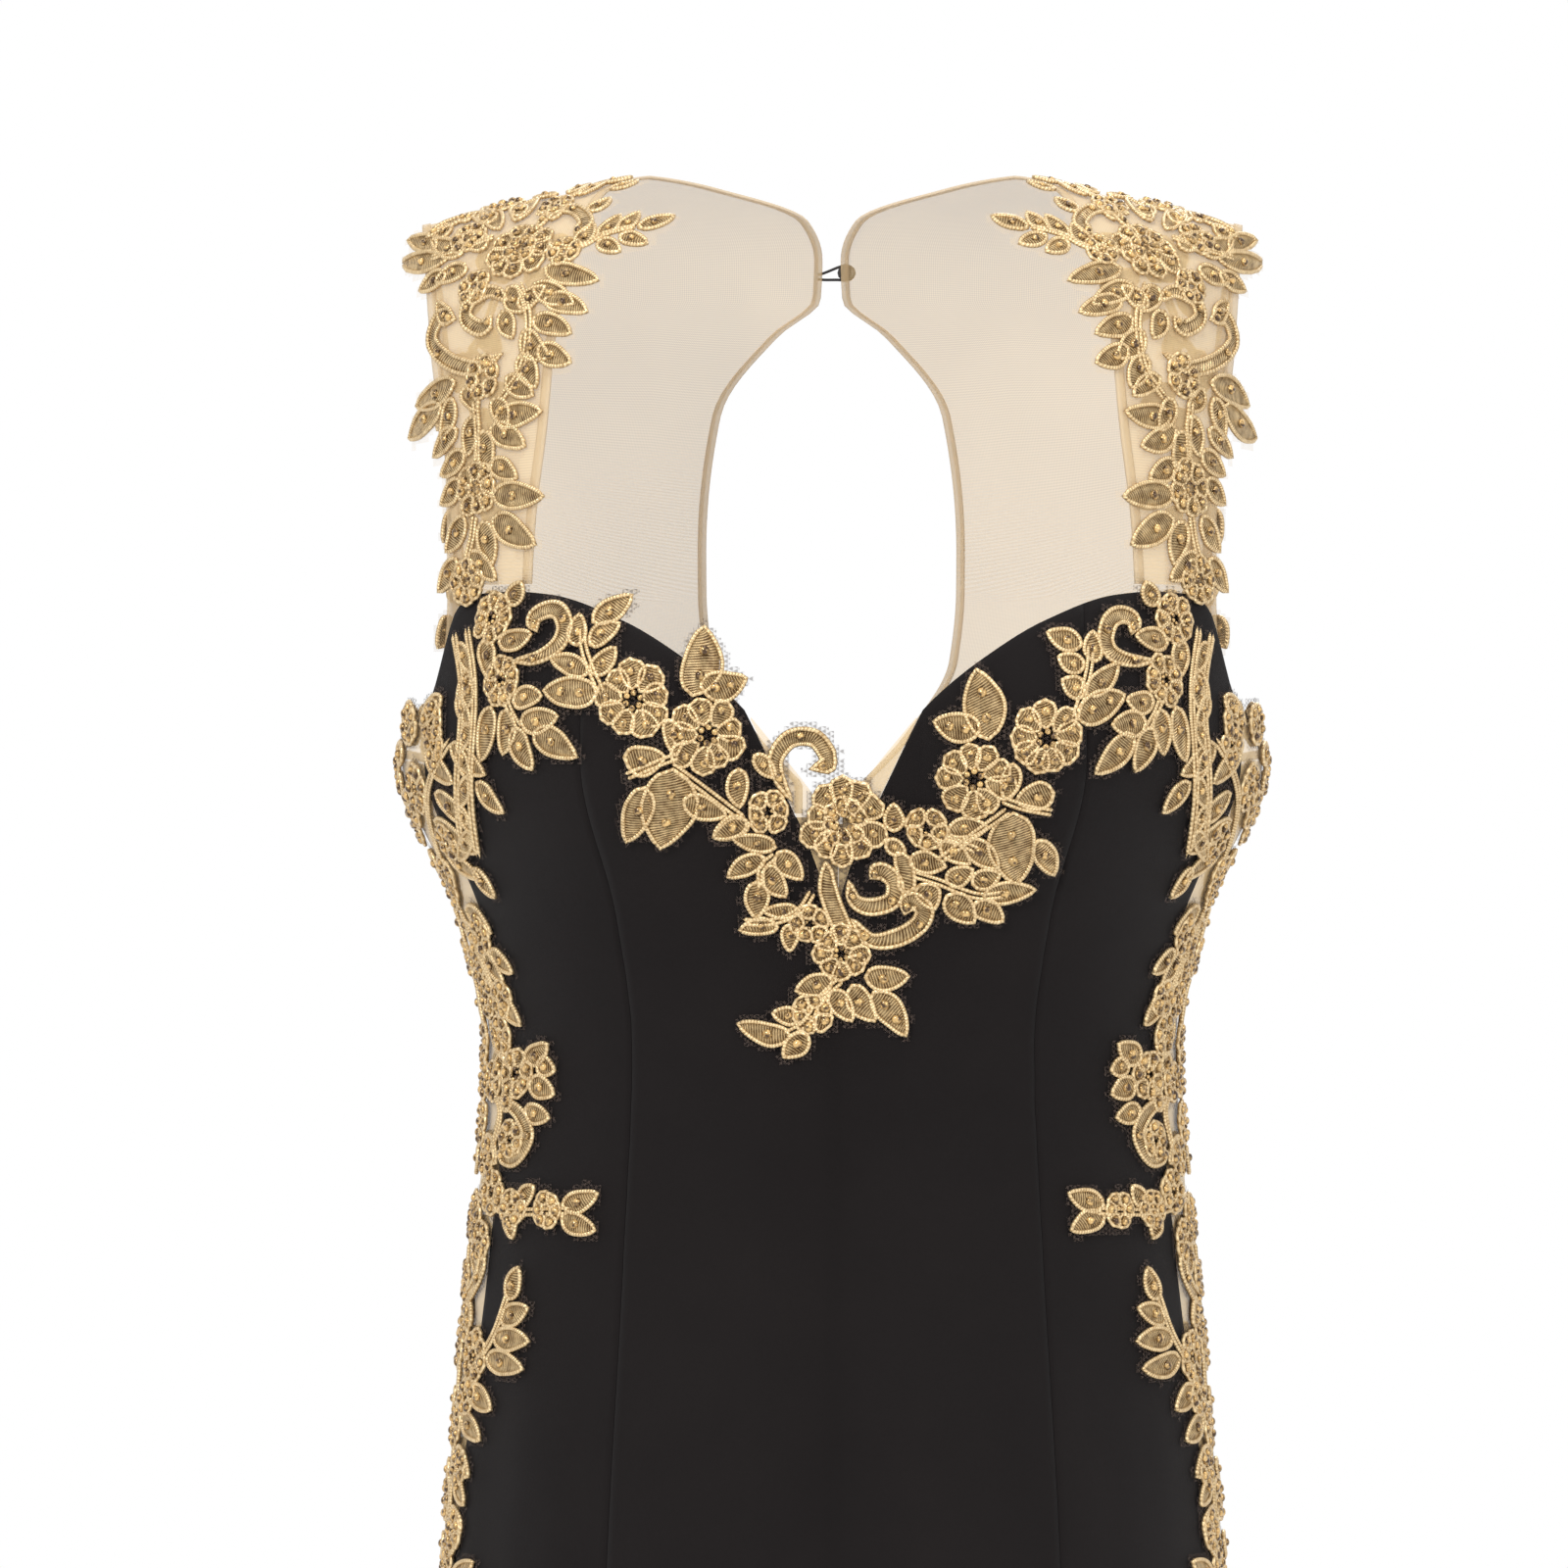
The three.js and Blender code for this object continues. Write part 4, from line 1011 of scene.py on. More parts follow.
# %% The lace maker
class Lace:
    """Collects motifs in one bmesh. Positions go through `chart`, and all lengths are in mm."""

    def __init__(self, chart, side=1, height=1.6, shift=None):
        self.bm = bmesh.new()
        self.uv = self.bm.loops.layers.uv.new("UVMap")
        self.chart, self.side, self.height = chart, side, height
        self.shift = shift or (lambda x, z: (x, z))
        self.count = 0

    def spot(self, place):
        point = self.chart(*self.shift(*place)).copy()
        point.x *= self.side
        return point

    def copy(self, data, move, uv_size):
        """Adds a copy of a mesh, with move(p, q) giving each vertex's place and height."""
        start_vert, start_face = len(self.bm.verts), len(self.bm.faces)
        self.bm.from_mesh(data)
        self.bm.verts.ensure_lookup_table()
        self.bm.faces.ensure_lookup_table()
        for vert in self.bm.verts[start_vert:]:
            vert.co = move(vert.co.x, vert.co.y) * mm
        wide, long = uv_size
        for face in self.bm.faces[start_face:]:
            for loop in face.loops:
                uv = loop[self.uv].uv
                loop[self.uv].uv = (uv.x * wide * mm, uv.y * long * mm)

    def tube(self, line, length, data, radius=0.9, lift=0.0, closed=True):
        """A cord along line(t), a flat curve that is laid on the form point by point."""
        steps = {}

        def ring_at(p):
            key = round(p, 5)
            if key not in steps:
                centre, normal = seat(line(p), self.height + lift)
                ahead = line((p + 0.01) % 1 if closed else min(p + 0.01, 1))
                behind = line((p - 0.01) % 1 if closed else max(p - 0.01, 0))
                along = (ahead - behind).normalized()
                across = along.cross(normal).normalized()
                thin = 1 if closed else max(ease(min(p, 1 - p), 0, 0.03), 0.02)
                steps[key] = (centre, normal, across, radius * thin)
            return steps[key]

        def move(p, q):
            centre, normal, across, size = ring_at(p)
            angle = 2 * math.pi * q
            return centre + (across * math.cos(angle) - normal * math.sin(angle)) * size

        self.copy(data, move, (length, 1000))

    def fill(self, middle, across, width_at, data, size, dome=0.7):
        """Domed satin stitches inside an outline."""

        def move(p, q):
            t = 0.04 + 0.92 * q
            half = width_at(t) * (2 * p - 1) * 0.94
            lift = dome * (1 - (2 * p - 1) ** 2) - 0.35
            return seat(middle(t) + across * half, self.height + lift)[0]

        self.copy(data, move, size)

    def bead(self, place, size=1.5, lift=0.9):
        centre, normal = seat(place, self.height + lift)
        start = len(self.bm.verts)
        self.bm.from_mesh(bead_mesh)
        self.bm.verts.ensure_lookup_table()
        turn = normal.to_track_quat("Z", "Y").to_matrix()
        for vert in self.bm.verts[start:]:
            local = vert.co * size
            local.z *= 0.72
            vert.co = (centre + turn @ local) * mm

    def blade(self, base, tip, width, width_at, cord, stitches, radius=0.8, beads=1):
        """One leaf or petal from a base to a tip, both of them points on the form."""
        along = tip - base
        length = along.length
        _, normal = seat((base + tip) / 2)
        across = normal.cross(along).normalized() * (width / 2)
        bend = 0.5 * noise.noise(base / 7)

        def middle(t):
            return base + along * t + across * (bend * math.sin(math.pi * t))

        def outline(p):
            t, side = there_and_back(p)
            uneven = 1 + 0.16 * noise.noise(base / 5 + Vector((4 * (p % 1), 0, 0)))
            return middle(t) + across * (side * width_at(t) * uneven)

        self.tube(outline, 2.3 * length, cord, radius)
        self.fill(middle, across, width_at, stitches, (width, length))
        for n in range(beads):
            share = 0.42 if beads == 1 else 0.3 + 0.36 * n
            self.bead(middle(share), min(1.9, width * 0.23), 0.7)
        self.count += 1

    def leaf(self, base, tip, width, beads=1):
        base, tip = self.spot(base), self.spot(tip)
        self.blade(base, tip, width * 1.14, leaf_width, loop_mesh, stitch_mesh, 0.92, beads)

    def leaves(self, rows, broad=10):
        """Leaves from rows of base, tip and width. One wider than `broad` has two beads."""
        for x, z, tip_x, tip_z, width in rows:
            self.leaf((x, z), (tip_x, tip_z), width, 2 if width > broad else 1)

    def flowers(self, rows):
        """Flowers from rows of place, reach, number of petals, and any turn."""
        for x, z, *rest in rows:
            self.flower((x, z), *rest)

    def stems(self, rows):
        for points in rows:
            self.stem(points)

    def flower(self, centre, reach, petals, turn=0.0, heart=True):
        """Petals round a beaded middle."""
        middle = self.spot(centre)
        _, normal = seat(middle)
        right = Vector((0, 0, 1)).cross(normal).normalized()
        up = normal.cross(right)
        width = 2 * reach * math.sin(math.pi / petals) * 0.98
        for n in range(petals):
            jitter = noise.noise(middle / 9 + Vector((n * 1.7, 0, 0)))
            angle = turn + 2 * math.pi * (n + 0.3 * jitter) / petals
            way = right * math.cos(angle) + up * math.sin(angle)
            size = reach * (1 + 0.22 * noise.noise(middle / 7 + Vector((0, n * 1.3, 0))))
            base, tip = middle + way * (size * 0.27), middle + way * size
            broad = width * (1.08 + 0.25 * jitter)
            self.blade(base, tip, broad, petal_width, petal_cord, petal_stitch, 0.85, 0)
            self.bead(middle + way * (size * 0.7), min(1.8, width * 0.25), 0.7)
        if heart:
            ring_count = 6 if reach > 9 else 3
            for n in range(ring_count):
                angle = 2 * math.pi * n / ring_count + 0.4
                way = right * math.cos(angle) + up * math.sin(angle)
                self.bead(middle + way * (reach * 0.2), reach * 0.085, 0.9)

    def band(self, points, width, beads=True):
        """A ribbed scroll with a cord along each edge, and a bead in its curled end."""
        line = [self.spot(point) for point in points]
        length = line_length(line)

        def frame_at(t):
            centre, normal = seat(smooth_line(line, t))
            return centre, heading(line, t).cross(normal).normalized()

        def half(t):
            return width / 2 * (0.45 + 0.55 * ease(min(t * 1.4, (1 - t) * 6), 0, 0.5))

        def outline(p):
            t, side = there_and_back(p)
            centre, across = frame_at(t)
            rounded = min(1, 9 * min(t, 1 - t) + 0.15)
            return centre + across * (side * half(t) * rounded)

        self.tube(outline, 2 * length, long_loop, 0.92)

        def move(p, q):
            t = 0.02 + 0.96 * q
            centre, across = frame_at(t)
            spread = 2 * p - 1
            lift = 0.6 * (1 - spread**2) - 0.3
            return seat(centre + across * (spread * half(t) * 0.92), self.height + lift)[0]

        self.copy(band_mesh, move, (width, length))
        if beads:
            for t in (0.12, 0.5, 0.93):
                self.bead(smooth_line(line, t), min(1.8, width * 0.3), 0.7)
        self.count += 1

    def stem(self, points, spread=1.0):
        """A double cord."""
        line = [self.spot(point) for point in points]
        length = line_length(line)
        for offset in (-spread, spread):

            def path(t):
                centre = smooth_line(line, t)
                _, normal = seat(centre)
                return centre + heading(line, t).cross(normal).normalized() * offset

            self.tube(path, length, line_mesh, 0.85, closed=False)

    def done(self, node, ground, moved=drape, look=tulle):
        """Makes the lace's object and its ground of net, cut from the place function `ground`."""
        points = [vert.co.copy() for vert in self.bm.verts]
        for face in self.bm.faces:
            face.smooth = True
        triangles = sum(len(face.verts) - 2 for face in self.bm.faces)
        cords = finished(node + "_cords", self.bm, cord_gold, satin_gold, amber)
        print(f"{cords.name}: {self.count} motifs, {triangles} triangles")
        stands_for(cords, node)
        net_under(node, points, self.height - 0.75, ground, moved, look)

# %% [markdown]
# ## The net under the cords
#
# The motifs are sewn on fine net, which is cut away by hand a few millimetres outside them. A grid
# of small faces covers the place, and each face that is far from every cord is deleted, with a
# little noise so that the edge looks cut.

# %% Net
def net_under(node, points, height, ground, moved, look):
    place, columns, rows = ground
    bm, wide, long = grid_of(place, columns, rows, height, moved)
    tree = kdtree.KDTree(len(points))
    for n, point in enumerate(points):
        tree.insert(point, n)
    tree.balance()
    far = []
    for face in bm.faces:
        middle = face.calc_center_median()
        reach = (1.9 + 1.5 * noise.noise(middle * 230)) * mm
        if tree.find(middle)[2] > reach:
            far.append(face)
    bmesh.ops.delete(bm, geom=far, context="FACES")
    area = sum(face.calc_area() for face in bm.faces)
    piece = finished(node + "_net", bm, look)
    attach(piece, "gown")
    cut_size(wide, long, area)
    print(f"{piece.name}: {area * 1e4:.0f} cm2 of net")


def torso_ground(first, last, top, bottom, columns, rows):
    return (lambda u, v: body_point(mix(first, last, u), mix(top, bottom, v)), columns, rows)


def shoulder_ground(far, near, start, stop, side, columns, rows):
    far, near = (near, far) if side > 0 else (far, near)
    return (lambda u, v: shoulder_point(side * mix(far, near, u), mix(start, stop, v)), columns, rows)


# %% [markdown]
# ## The lace at the neckline's point
#
# The middle motif isn't symmetrical: a hooked scroll and a large flower stand up from the point of
# the neckline, sprigs spread to both sides, and a small tail hangs down.

# %% Centre lace
# Flowers are rows of x, z, reach, petals and turn, and leaves are rows of base, tip and width.
CENTRE_FLOWERS = [
    (4, -251, 17, 10, 0.3), (4, -251, 9.5, 8, 0.1, False), (-25, -247, 8, 6, 0.2), (35, -253, 7.8, 5, 0.9),
    (3, -300, 10.5, 8), (-8, -322.5, 7.8, 6, 0.3), (-9, -289, 7, 5, 0.5),
]
CENTRE_STEMS = [
    [(-22, -263), (-27, -268), (-27, -276)], [(-8, -277), (-13, -284), (-23, -288), (-34, -288)],
    [(29.7, -270), (39.6, -273), (53.5, -278), (66, -277)], [(39, -256), (47, -258), (56, -262)],
    [(3, -310), (-4, -316), (-10, -326), (-18, -331)],
]
HOOK = [
    (-16, -243), (-21, -234), (-22, -227), (-18, -221), (-13, -219), (-7, -220), (-3, -225), (-2, -229),
    (-9, -231),
]
CENTRE_LEAVES = [
    (22.8, -254, 22.8, -244, 6), (-32, -251, -45, -256, 6.5), (-22, -260, -38, -256.5, 5.5),
    (-26, -264, -39.5, -271, 6.5), (-21, -262, -12, -272, 7), (-25, -267, -18, -278.5, 7),
    (-29, -273, -29, -286.5, 7.5), (-13.5, -284, -26, -284, 4.6), (-21, -290, -35, -291, 5.6),
    (-16, -289, -16.4, -299, 5.5), (-30, -226, -22, -234, 5), (43, -254, 57.5, -252, 6.5),
    (40.5, -258, 51, -266, 6.5), (49, -257, 61.5, -267.5, 8), (28.5, -265, 42, -267, 7),
    (42.5, -273, 52, -268, 7), (52, -273.5, 62, -269.5, 7), (56, -278, 75, -275.5, 7.4),
    (32.5, -274, 38, -283, 7.6), (42.5, -278, 52.5, -288, 8.4), (52.5, -281, 63, -287.5, 7.2),
    (12, -309, 28, -308.5, 8), (7, -312, 15.5, -325.5, 8), (15, -314.5, 27, -331, 8.6),
    (-0.5, -314, 7, -325.5, 7), (-0.5, -310, -14, -314, 7), (-16, -331.5, -35.5, -326.5, 7),
    (-9.5, -331, -18.5, -339, 7), (-13, -325, -22.5, -322.5, 5.6), (20, -258, 27, -262, 5),
]
centre = Lace(from_front, height=1.7)
centre.flowers(CENTRE_FLOWERS)
centre.stems(CENTRE_STEMS)
centre.band(HOOK, 5.5)
centre.band([(6, -273), (8, -280), (14, -282.5), (22, -280), (23, -273), (18, -269), (14, -271.5)], 5.6)
centre.band([(7, -287), (14, -295), (24, -294), (32, -289), (34, -283), (29, -280), (26.5, -285)], 6)
centre.band([(-3, -266), (-2, -276), (1, -285), (5, -294)], 6.5, False)
centre.band([(24, -262), (27, -268), (27.5, -277)], 6, False)
centre.leaves(CENTRE_LEAVES, 8)
centre.leaf((67, -247), (68, -273.5), 15, 2)
centre.leaf((76, -257), (82, -270), 7)
centre.done("neckline_lace", torso_ground(36, -30, -205, -342, 90, 80))

# %% [markdown]
# ## The lace over the bust
#
# From each strap a chain of two flowers, sprigs and a broad ribbed leaf runs along the neckline to
# the middle. Both sides use one layout, and the wearer's left side hangs a little lower inside.

# %% Bust lace
BUST_LEAVES = [
    (120, -170, 116, -161, 7), (89, -177, 75, -167, 7), (90, -185.5, 79.5, -177.5, 6.5),
    (94.8, -185.5, 94, -174, 6.5), (89.5, -196, 81, -186.5, 6.5), (91, -196, 104.5, -190, 6.5),
    (87.5, -203.5, 107, -202, 9.5), (53, -204, 48.5, -178.5, 12.5), (50, -200.5, 33, -197.5, 9.6),
    (77.5, -226.5, 63, -226.5, 9), (70, -237.5, 77, -257.5, 9), (56, -242, 40.5, -248, 8),
    (36, -231, 35.5, -245, 7), (127, -208, 131, -228, 8.4), (121, -209, 122.5, -225.5, 8.4),
    (118.5, -216, 111.5, -231, 8.4), (115.5, -213.7, 102, -211.5, 8), (118.5, -206, 108, -204, 7),
    (110.8, -217.5, 95, -226.5, 8.6), (130, -183, 128, -197, 7.5), (124, -184, 112, -181, 7),
    (135, -196, 137, -209, 7), (33, -250, 45, -256, 7), (62, -213, 59, -226, 6),
]


def lower_inside(x, z):
    """The left chain sits a little further out and lower towards the middle."""
    drop = 1 - ease(x, 62, 118)
    return x + 5 * drop, z - 16 * drop


BUST_FLOWERS = [
    (127, -175, 10, 8), (123, -198, 9.5, 8, 0.3), (74.5, -206, 14, 9, 0.2), (47.6, -218.5, 14.5, 9, 0.4),
]
BUST_STEMS = [
    [(141.5, -180), (138.5, -200), (139.5, -225), (138, -262)],
    [(136.5, -178), (133.5, -200), (134.5, -225), (132.5, -264)],
    [(86, -203), (92, -188), (93, -179)], [(77, -233.5), (66, -229), (58, -226)],
    [(60, -230), (48.5, -238.5), (34, -249.5)], [(122, -204), (119, -211), (116, -216)],
]
BUST_SCROLL = [
    (119, -191), (110, -190), (102.5, -185.5), (99.5, -179), (101.5, -173), (106, -172), (111, -175),
    (110, -180),
]
for name, side in SIDES:
    bust = Lace(from_front, side, 1.9, lower_inside if side > 0 else None)
    bust.flowers(BUST_FLOWERS)
    bust.stems(BUST_STEMS)
    bust.band(BUST_SCROLL, 5.8)
    for n in range(8):
        z = -184 - 10 * n
        bust.leaf((140 - (n % 2) * 5, z), (135 + (n % 2) * 5, z - 11), 5.4)
    if side < 0:
        bust.leaf((60, -231), (64.5, -260), 17, 2)
        bust.leaves(BUST_LEAVES, 9)
        edges = (-8, -90)
    else:
        # the middle motif covers the inner end of this side's chain
        inner = [row for row in BUST_LEAVES if row[0] < 40 or (row[0] < 80 and row[1] < -235)]
        bust.leaves([row for row in BUST_LEAVES if row not in inner], 9)
        edges = (90, 8)
    bust.done(f"bust_lace_{name}", torso_ground(*edges, CUP_TOP_Z + 2, -278, 130, 64))

# %% [markdown]
# ## The lace on the shoulders
#
# On the straps the lace hides most of the mesh. It is widest on top of the shoulder, where sprigs
# reach past both edges, and narrows to a single flower and leaves above the cup.

# %% Shoulder lace
STRAP_LEAVES = [
    (108, -43, 88, -48, 7.4), (112, -49, 97, -57, 7), (108, -55, 92, -60, 7), (112, -62, 98, -68, 7.2),
    (116, -67, 106, -77, 7.6), (110, -73, 98, -79, 7.2), (117, -76, 111, -88, 7.6), (96, -35, 90, -26, 6),
    (88, -31, 80, -23, 5.6), (88, -33, 80, -37, 5.6), (80, -29, 73, -22, 5.4), (80, -31, 70, -34, 5.4),
    (73, -28, 60, -23.5, 5.4), (131, -34, 142, -28, 7), (140, -36, 152, -30, 6.5),
    (146, -38, 164, -37, 6.5), (138, -42, 150, -46, 6.5), (129, -24, 136, -15, 6), (118, -22, 121, -12, 6),
    (106, -24, 101, -15, 6), (142, -85, 157, -93, 8.6), (147, -94, 160, -105, 9),
    (143, -91, 147, -106, 7.4), (127, -92, 122, -104, 7), (126, -99, 109, -97, 8),
    (128, -103, 115, -110, 7.6), (134, -98, 137, -113, 8), (131, -104, 128, -119, 8),
    (127, -128, 108, -129, 8.6), (127, -137, 111, -147, 9.4), (131, -138, 127, -154, 8.4),
    (138, -136, 145, -149, 7.4), (138, -112, 147, -120, 7), (96, -14, 85, -8, 5.4), (88, -9, 77, -4, 5.2),
    (84, -12, 74, -9, 5), (136, -150, 126, -160, 7), (141, -152, 148, -164, 7), (120, -24, 112, -15, 6.5),
    (145, -27, 156, -22, 6), (150, -33, 161, -29, 5.6), (126, -27, 133, -18, 6), (113, -14, 106, -9, 6),
    (100, -13, 92, -9, 5.4), (92, -21, 84, -16, 5.6), (122, -50, 115, -59, 7), (124, -59, 120, -69, 6.4),
    (122, -84, 112, -91, 6.4), (146, -44, 156, -49, 6), (139, -88, 133, -96, 6.4),
    (140, -122, 147, -131, 6.6), (128, -116, 118, -122, 6.8), (141, -103, 150, -113, 6.6),
    (144, -62, 149, -54, 5.6), (118, -57, 108, -50, 6.6), (139, -12, 147, -8, 5.4),
]
STRAP_FLOWERS = [
    (118, -35, 13.5, 9), (135, -49, 7, 6), (101, -36, 7, 6, 0.5), (138, -30, 7.5, 6, 0.2), (105, -18, 7, 6),
    (124, -17, 7.5, 6, 0.8), (118, -35, 7, 6, 0.4, False), (131.5, -83.5, 8.6, 6, 0.4),
    (133.5, -125.5, 11, 8, 0.2), (137, -160, 9.5, 8),
]
for name, side in SIDES:
    strap = Lace(from_front, side, 1.5)
    strap.flowers(STRAP_FLOWERS)
    strap.leaves(STRAP_LEAVES)
    strap.band([(112, -28), (106, -21), (98, -20), (93, -25), (97, -30)], 5)
    strap.band([(154, -29), (146, -24), (136, -21), (131, -24)], 5)
    strap.band([(122, -55), (128, -51), (136, -54), (138, -61), (132, -65), (128, -61)], 5.2)
    strap.band([(124, -75), (133, -80), (144, -77), (151, -69), (148, -60), (142, -61)], 5.6)
    strap.stem([(108, -34), (96, -35), (85, -30), (74, -27.5)], 0.7)
    strap.stem([(128, -30), (140, -34), (152, -37)], 0.7)
    strap.stem([(112, -22), (98, -14), (88, -9)], 0.7)
    strap.stem([(118, -48), (114, -62), (116, -80), (124, -92)])
    strap.stem([(134, -92), (133, -104), (133, -116)])
    strap.stem([(134, -136), (135, -144), (137, -152)])
    ground = shoulder_ground(165, 56, -1, 0.12, side, 62, 100)
    strap.done(f"shoulder_lace_{name}", ground, as_it_is, nude_tulle)

# %% [markdown]
# ## The lace at the sides
#
# The lace hides both seams of the sheer side panel. The layout gives the front half, by degrees
# forward of the wearer's side, and its outer motifs are repeated behind.

# %% Side lace
UPPER_FLOWERS = [
    (24, -213, 8.6, 8), (16, -238, 9.6, 8), (3, -252, 8.4, 7), (9, -276, 8.8, 8), (2, -302, 8.4, 7),
    (14, -318, 8, 7), (4, -336, 9, 8), (26, -347, 9.6, 7), (6, -366, 9, 8), (2, -233, 8.4, 7),
    (21, -258, 7.8, 6), (19, -294, 7.8, 6), (14, -214, 8.4, 7), (25, -222, 7.4, 6), (9, -246, 7.8, 6),
    (12, -270, 7.6, 6), (22, -318, 7.2, 6), (25, -372, 7.4, 6), (7, -350, 7.4, 6), (12, -306, 7.4, 6),
    (19, -332, 7.8, 6), (15, -350, 7.6, 6), (14, -379, 7.6, 6),
]
UPPER_LEAVES = [
    (30, -222, 38, -233, 7.4), (22, -224, 30, -236, 7.4), (24, -240, 31, -251, 7.4),
    (20, -250, 30, -262, 7.6), (18, -262, 27, -272, 7.2), (15, -284, 24, -293, 7.4),
    (10, -290, 19, -303, 7.4), (18, -300, 24, -312, 7), (19, -314, 28, -328, 7.4),
    (14, -327, 20, -341, 7.2), (29, -341, 36, -335, 7.4), (31, -350, 38, -354, 7.4),
    (20, -340, 15, -350, 7), (6, -232, 0, -244, 7), (7, -262, 0, -270, 7), (0, -284, 4, -296, 7),
    (10, -226, 3, -223, 7), (27, -204, 20, -214, 7), (36, -236, 40, -247, 6.6), (26, -268, 29, -279, 6.6),
    (22, -300, 28, -308, 6.6), (22, -361, 25, -351, 6), (33, -343, 38, -345, 6.4),
    (30, -360, 37, -363, 6.4), (3, -316, -3, -326, 7), (10, -350, 2, -352, 7), (12, -372, 20, -381, 7),
    (4, -376, 0, -386, 6.5),
]
LOWER_FLOWERS = [
    (8, -402, 9, 8), (38, -398, 6.8, 6), (2, -426, 8.6, 7), (17, -455, 9.8, 8), (3, -452, 8.6, 7),
    (8, -482, 9, 8), (4, -510, 8.4, 7), (10, -536, 8.6, 8), (3, -562, 8.2, 7), (6, -590, 8, 7),
    (19, -392, 9, 7), (28, -398, 7.4, 6), (15, -411, 8, 7), (7, -404, 8, 7), (4, -426, 7.6, 6),
    (14, -497, 7.8, 6), (14, -522, 7.6, 6), (10, -572, 7.4, 6), (12, -552, 7.2, 6), (9, -606, 7, 6),
    (15, -470, 7.6, 6), (9, -442, 7.6, 6),
]
LOWER_LEAVES = [
    (42, -396, 49.5, -391, 7), (42, -400, 49.5, -405, 7), (30, -396, 34, -389, 6), (26, -401, 29, -409, 6),
    (29, -432, 31.5, -420, 7), (27, -440, 35, -435, 7.2), (25, -447, 36, -447.5, 7.4),
    (23, -455, 35, -458, 7.4), (17, -467, 26, -474, 7.4), (14, -478, 23, -486, 7.4),
    (12, -490, 20, -500, 7.4), (10, -412, 15, -424, 7), (8, -434, 14, -443, 7), (11, -500, 19, -511, 7),
    (8, -518, 14, -527, 6.6), (15, -540, 24, -532, 7.4), (14, -544, 22, -553, 7), (9, -552, 14, -564, 7),
    (9, -572, 16, -581, 6.8), (8, -598, 13, -610, 6.8), (2, -440, -3, -447, 6.5), (2, -468, -2, -478, 6.5),
    (3, -496, -2, -503, 6.5), (2, -524, -3, -533, 6.5), (4, -576, -1, -584, 6), (3, -600, 1, -614, 6.4),
]
UPPER_BANDS = [
    [(8, -288), (14, -294), (12, -303), (6, -305)],
    [(18, -356), (27, -361), (31, -370), (27, -379), (20, -377)],
]
LOWER_BANDS = [
    [(14, -410), (17, -420), (12, -430), (6, -434)], [(12, -512), (17, -519), (13, -528), (7, -526)],
]
UPPER_STEMS = [
    [(30, -220), (21, -240), (14, -262), (10, -284)], [(10, -284), (16, -304), (22, -326)],
    [(4, -310), (5, -330), (8, -350)], [(14, -350), (20, -362), (16, -380)],
]
LOWER_STEMS = [
    [(10, -394), (26, -399), (44, -398)], [(12, -468), (24, -448), (29, -430)],
    [(4, -412), (5, -440), (8, -470)], [(10, -470), (9, -500), (12, -530)],
    [(8, -540), (6, -566), (7, -600)],
]


def side_lace(side, flowers, leaves, bands, stems):
    lace = Lace(from_side, side, 1.6)
    for way in (1, -0.9):
        for x, z, reach, petals in flowers:
            if way > 0 or x > 8:
                lace.flower((x * way, z), reach, petals, z)
        for x, z, tip_x, tip_z, width in leaves:
            if way > 0 or x > 5:
                lace.leaf((x * way, z), (tip_x * way, tip_z), width)
        for points in bands:
            lace.band([(x * way, z) for x, z in points], 5.4)
        for points in stems:
            lace.stem([(x * way, z) for x, z in points])
    return lace


for name, side in SIDES:
    edges = (140, 40) if side > 0 else (-40, -140)
    upper = side_lace(side, UPPER_FLOWERS, UPPER_LEAVES, UPPER_BANDS, UPPER_STEMS)
    upper.done(f"side_lace_upper_{name}", torso_ground(*edges, -200, -386, 96, 96))
    lower = side_lace(side, LOWER_FLOWERS, LOWER_LEAVES, LOWER_BANDS, LOWER_STEMS)
    lower.done(f"side_lace_lower_{name}", torso_ground(*edges, -386, -618, 96, 120))

# %% [markdown]
# ## The lace on the back
#
# Behind, a narrow chain of the same motifs follows the armhole from the shoulder to the underarm.

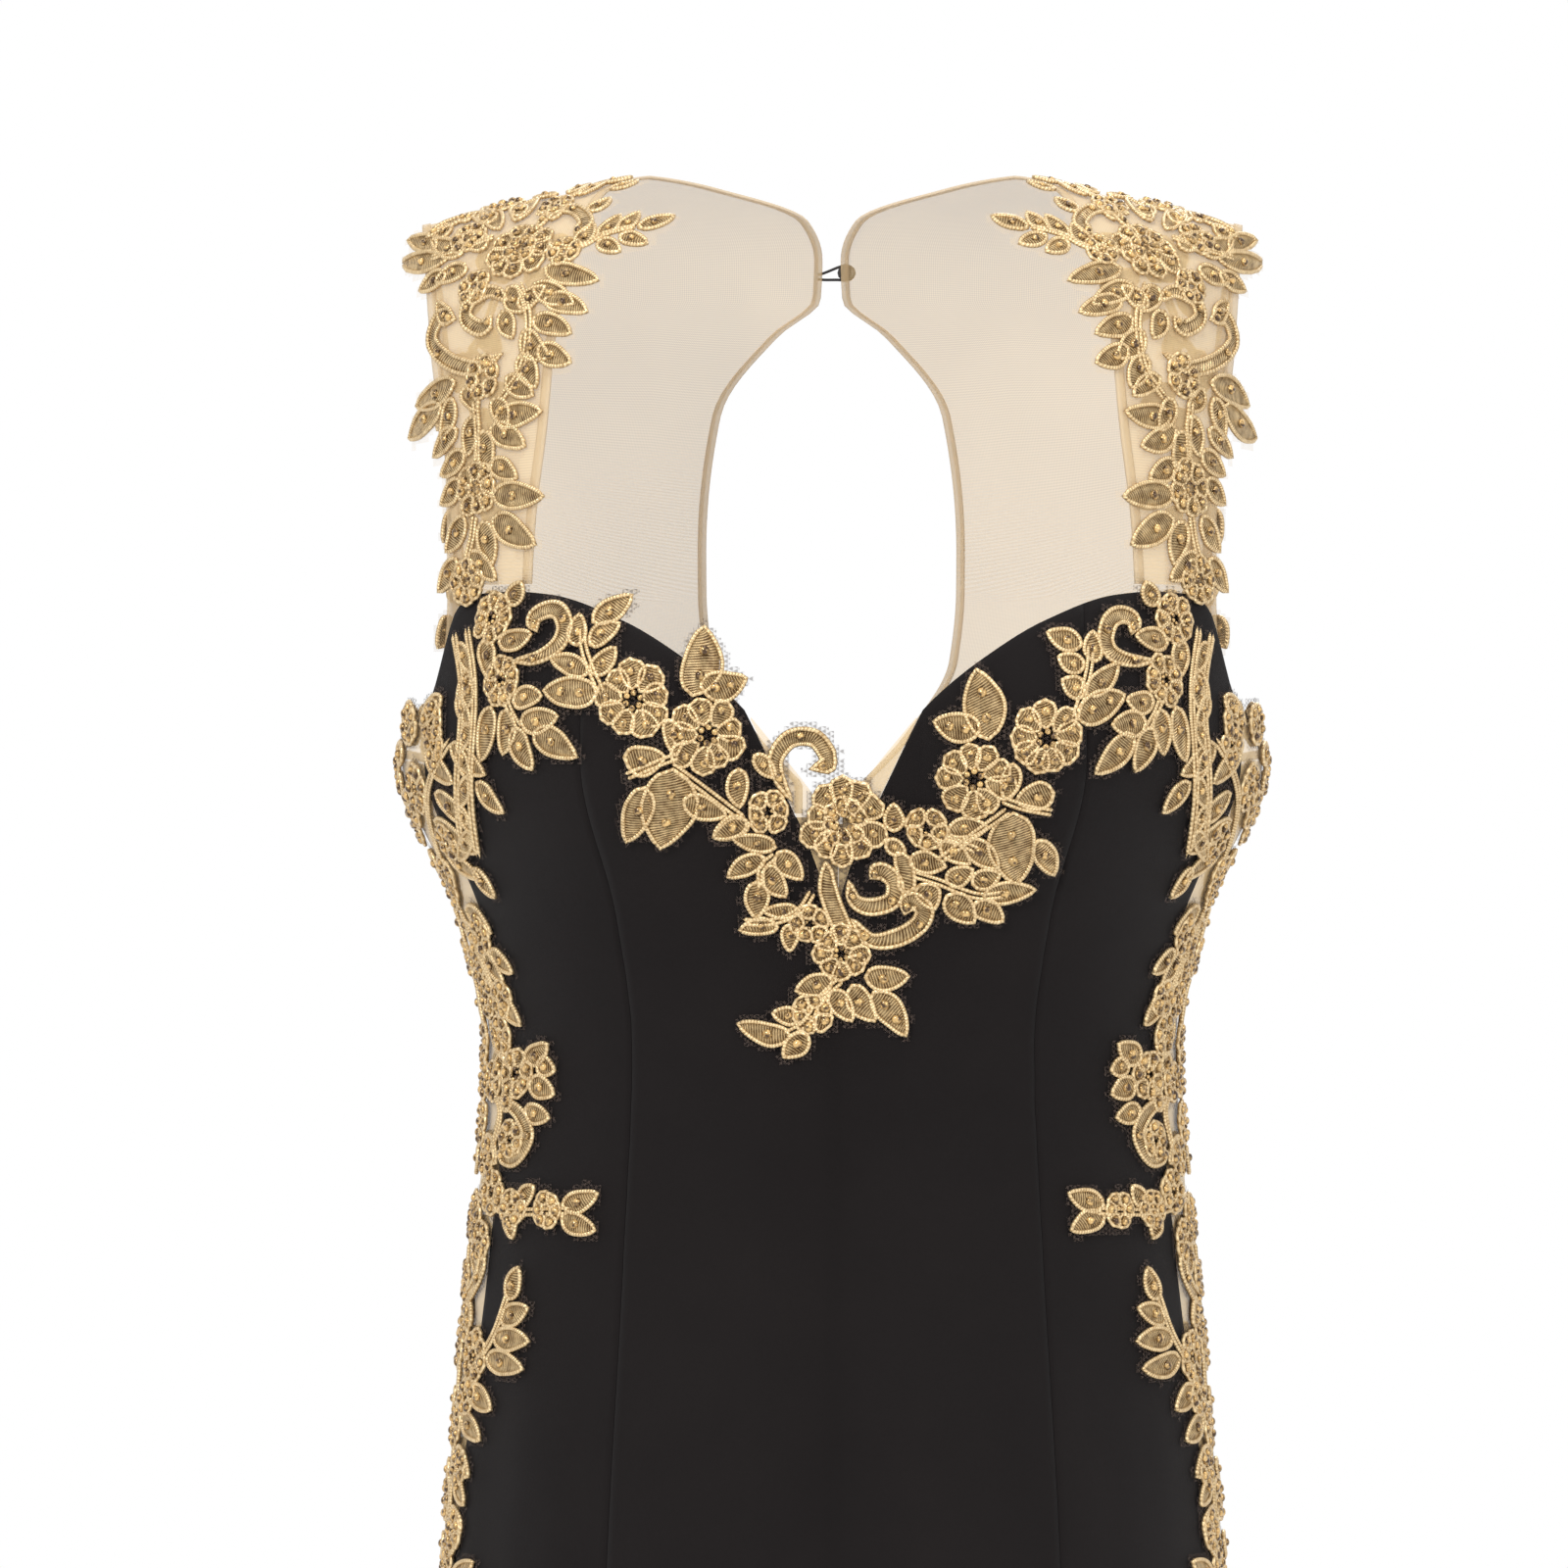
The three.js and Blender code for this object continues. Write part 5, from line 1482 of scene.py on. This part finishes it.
# %% Back lace
BACK_FLOWERS = [
    (126, -34, 11, 8), (140, -78, 8.6, 7), (139, -118, 10, 8), (142, -160, 9, 8), (144, -200, 9, 8),
]
BACK_LEAVES = [
    (115, -32, 102, -26, 7), (118, -40, 104, -44, 7.4), (124, -46, 116, -58, 7.4),
    (134, -46, 142, -58, 7.4), (136, -60, 128, -70, 7), (132, -84, 120, -90, 7.4),
    (136, -92, 130, -104, 7.4), (146, -88, 151, -100, 7), (130, -122, 117, -128, 7.6),
    (134, -130, 126, -142, 7.4), (144, -130, 149, -143, 7.2), (134, -164, 122, -170, 7.4),
    (138, -172, 131, -184, 7.4), (147, -172, 151, -184, 7), (136, -204, 124, -212, 7.4),
    (142, -212, 137, -226, 7.4),
]
BACK_STEMS = [
    [(128, -46), (134, -62), (139, -70)], [(139, -88), (136, -102), (138, -108)],
    [(139, -130), (138, -144), (141, -150)], [(142, -170), (139, -184), (143, -190)],
]
for name, side in SIDES:
    back = Lace(from_back, side, 1.5)
    for x, z, reach, petals in BACK_FLOWERS:
        back.flower((x, z), reach, petals, z)
    back.leaves(BACK_LEAVES)
    back.stems(BACK_STEMS)
    ground = shoulder_ground(160, 92, 0.02, 1.62, side, 40, 130)
    back.done(f"back_lace_{name}", ground, as_it_is, nude_tulle)

# %% [markdown]
# ## The stage
#
# A pale floor, white surroundings and three large soft lights show black cloth without hard
# reflections and still give the gold cords their sparkle.

# %% Floor and lights
floor_bm = bmesh.new()
bmesh.ops.create_grid(floor_bm, x_segments=1, y_segments=1, size=4)
bmesh.ops.translate(floor_bm, verts=floor_bm.verts, vec=(0, 0, HEM_Z * mm - 0.002))
floor = finished("floor", floor_bm, Finish("pale_floor", (0.86, 0.86, 0.86), 0.8))


def soft_light(name, place, size, power):
    data = bpy.data.lights.new(name, "AREA")
    data.shape = "DISK"
    data.size = size
    data.energy = power
    lamp = bpy.data.objects.new(name, data)
    lamp.location = place
    aim = Vector((0, 0, -0.3)) - Vector(place)
    lamp.rotation_euler = aim.to_track_quat("-Z", "Y").to_euler()
    bpy.context.collection.objects.link(lamp)


soft_light("key", (-1.3, -2.4, 1.4), 0.7, 42)
soft_light("fill", (1.9, -2.2, 0.3), 1.2, 16)
soft_light("top", (0.2, -0.4, 2.2), 0.8, 18)
soft_light("behind", (0.6, 2.6, 1.2), 1.2, 16)
world = bpy.data.worlds.new("studio")
world.use_nodes = True
world.node_tree.nodes["Background"].inputs["Color"].default_value = (1, 1, 1, 1)
world.node_tree.nodes["Background"].inputs["Strength"].default_value = 1.0
bpy.context.scene.world = world
bpy.context.scene.view_settings.view_transform = "Standard"
